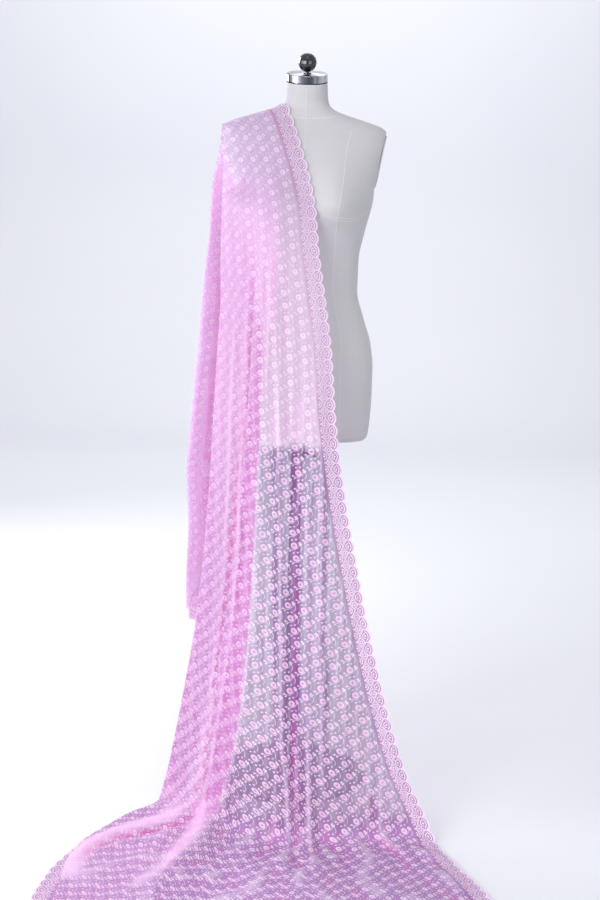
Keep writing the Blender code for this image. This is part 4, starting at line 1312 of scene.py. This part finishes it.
def build_seams():
    ahead, behind = -math.pi / 2, math.pi / 2
    paths = [
        (np.linspace(SEAM_FOOT, SEAM_TOP, 150), np.full(150, ahead)),
        (np.linspace(SEAM_FOOT, NECK_FOOT, 130), np.full(130, behind)),
    ]
    princess, bust = Track(*zip(*PRINCESS)), Track(*zip(*UNDER_BUST))
    z, low = np.linspace(SEAM_FOOT, PRINCESS[-1][0], 140), np.linspace(SEAM_FOOT, ARMHOLE_LOW, 90)
    x, across = princess.at(z), np.linspace(0.012, UNDER_BUST[-1][0], 60)
    for sign in (-1, 1):
        paths.append((z, turn_at(sign * x, z)))
        paths.append((z, turn_at(sign * x * BACK_SEAM_SHARE, z, True)))
        paths.append((low, np.full(90, 0.0 if sign > 0 else math.pi)))
        for lift in (0.0, UNDER_BUST_BAND):
            height = bust.at(across) + lift
            paths.append((height, turn_at(sign * across, height)))
    ring = np.linspace(-math.pi, math.pi, 120)
    paths.append((1.4935 + 0.0107 * np.sin(ring) ** 3 + 0.008 * np.cos(ring) ** 2, ring))
    points, faces = [], []
    for z, turn in paths:
        grid = seam(z, turn)
        index = np.arange(grid.shape[0] * grid.shape[1]).reshape(grid.shape[:2])
        faces += quads(index + len(points))
        points += grid.reshape(-1, 3).tolist()
    mesh = bpy.data.meshes.new("form_seams")
    mesh.from_pydata(points, [], faces)
    mesh.shade_smooth()
    mesh.set_sharp_from_angle(angle=math.radians(80))
    mesh.materials.append(SEAM)
    made = link("form_seams", mesh)
    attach(made, "root")
    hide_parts("torso")


nets, strips = build_cloth()
build_form()
build_seams()
# the solids that show as they are
for node, material in (
    ("arm_plate_left", PLATE), ("arm_plate_right", PLATE), ("neck_cap", CHROME), ("finial", BLACK),
    ("pole", STAND), ("pole_collar", STAND), ("collar_screw", STAND), ("base_plate", BASE),
    ("base_hub", BASE),
):
    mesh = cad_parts[node].data
    mesh.materials.clear()
    mesh.materials.append(material)


# ---------------------------------------------------------------- camera, light and stage
CAMERA_PLACE, CAMERA_LENS = (0.0071, -2.90, 1.17), 52.0
CAMERA_DROP = math.atan(184 / 1300)  # the horizon is 184 px over the middle, at 1300 px of focus
CAMERA_ROLL = math.radians(1.604)
GROUND_FRONT, GROUND_BACK, GROUND_SIDE = -14.0, 5.5, 16.0
SWEEP, SWEEP_STEPS, WALL_TOP = 2.0, 12, 9.0
LAMPS = (
    # name, place, target, size, power, spread
    ("key", (-2.1, -3.7, 1.8), (0.0, -0.2, 0.75), 2.0, 104.0, 180),
    ("fill", (2.8, -3.0, 1.2), (0.0, -0.2, 0.8), 2.2, 42.0, 180),
    ("back", (-1.6, 1.9, 2.1), (-0.2, 0.0, 0.9), 1.2, 50.0, 180),
    ("side", (-2.7, -1.1, 1.3), (-0.2, 0.0, 0.9), 1.6, 30.0, 180),
    ("wall", (0.0, 3.4, 5.4), (0.0, 7.5, 1.2), 5.0, 260.0, 180),
    ("train", (-0.05, -1.2, 2.9), (-0.05, -0.60, 0.0), 1.2, 2.0, 46),
)


def build_camera(scene):
    data = bpy.data.cameras.new("camera")
    data.lens, data.sensor_width = CAMERA_LENS, 36.0
    camera = link("camera", data)
    ahead = np.array([0.0, math.cos(CAMERA_DROP), -math.sin(CAMERA_DROP)])
    up = np.array([0.0, math.sin(CAMERA_DROP), math.cos(CAMERA_DROP)])
    right = np.array([1.0, 0.0, 0.0])
    side = math.cos(CAMERA_ROLL) * right + math.sin(CAMERA_ROLL) * up
    top = -math.sin(CAMERA_ROLL) * right + math.cos(CAMERA_ROLL) * up
    turn = Matrix((side, top, -ahead)).transposed()
    camera.matrix_world = Matrix.Translation(CAMERA_PLACE) @ turn.to_4x4()
    scene.camera = camera


def build_ground():
    """A level floor that sweeps up into a wall."""
    profile = [(GROUND_FRONT, 0.0), (GROUND_BACK, 0.0)]
    for i in range(1, SWEEP_STEPS + 1):
        turn = math.pi / 2 * i / SWEEP_STEPS
        profile.append((GROUND_BACK + SWEEP * math.sin(turn), SWEEP * (1 - math.cos(turn))))
    profile.append((GROUND_BACK + SWEEP, WALL_TOP))
    points = [(x, y, z) for y, z in profile for x in (-GROUND_SIDE, GROUND_SIDE)]
    faces = [(2 * i, 2 * i + 1, 2 * i + 3, 2 * i + 2) for i in range(len(profile) - 1)]
    mesh = bpy.data.meshes.new("ground")
    mesh.from_pydata(points, [], faces)
    mesh.shade_smooth()
    mesh.materials.append(GROUND)
    ground = link("ground", mesh)


def build_light(scene):
    for name, place, target, size, power, spread in LAMPS:
        lamp = bpy.data.lights.new(name, "AREA")
        lamp.energy, lamp.size, lamp.spread = power, size, math.radians(spread)
        made = link(name, lamp)
        made.location = place
        made.rotation_mode = "QUATERNION"
        way = Vector(np.array(target) - np.array(place))
        made.rotation_quaternion = way.to_track_quat("-Z", "Y")
    world = bpy.data.worlds.new("world")
    world.use_nodes = True
    sky = world.node_tree.nodes["Background"]
    sky.inputs["Color"].default_value = (0.93, 0.94, 1.0, 1.0)
    sky.inputs["Strength"].default_value = 0.60
    scene.world = world
    scene.view_settings.view_transform = "Standard"
    scene.cycles.transparent_max_bounces = 40


build_camera(bpy.context.scene)
build_ground()
build_light(bpy.context.scene)
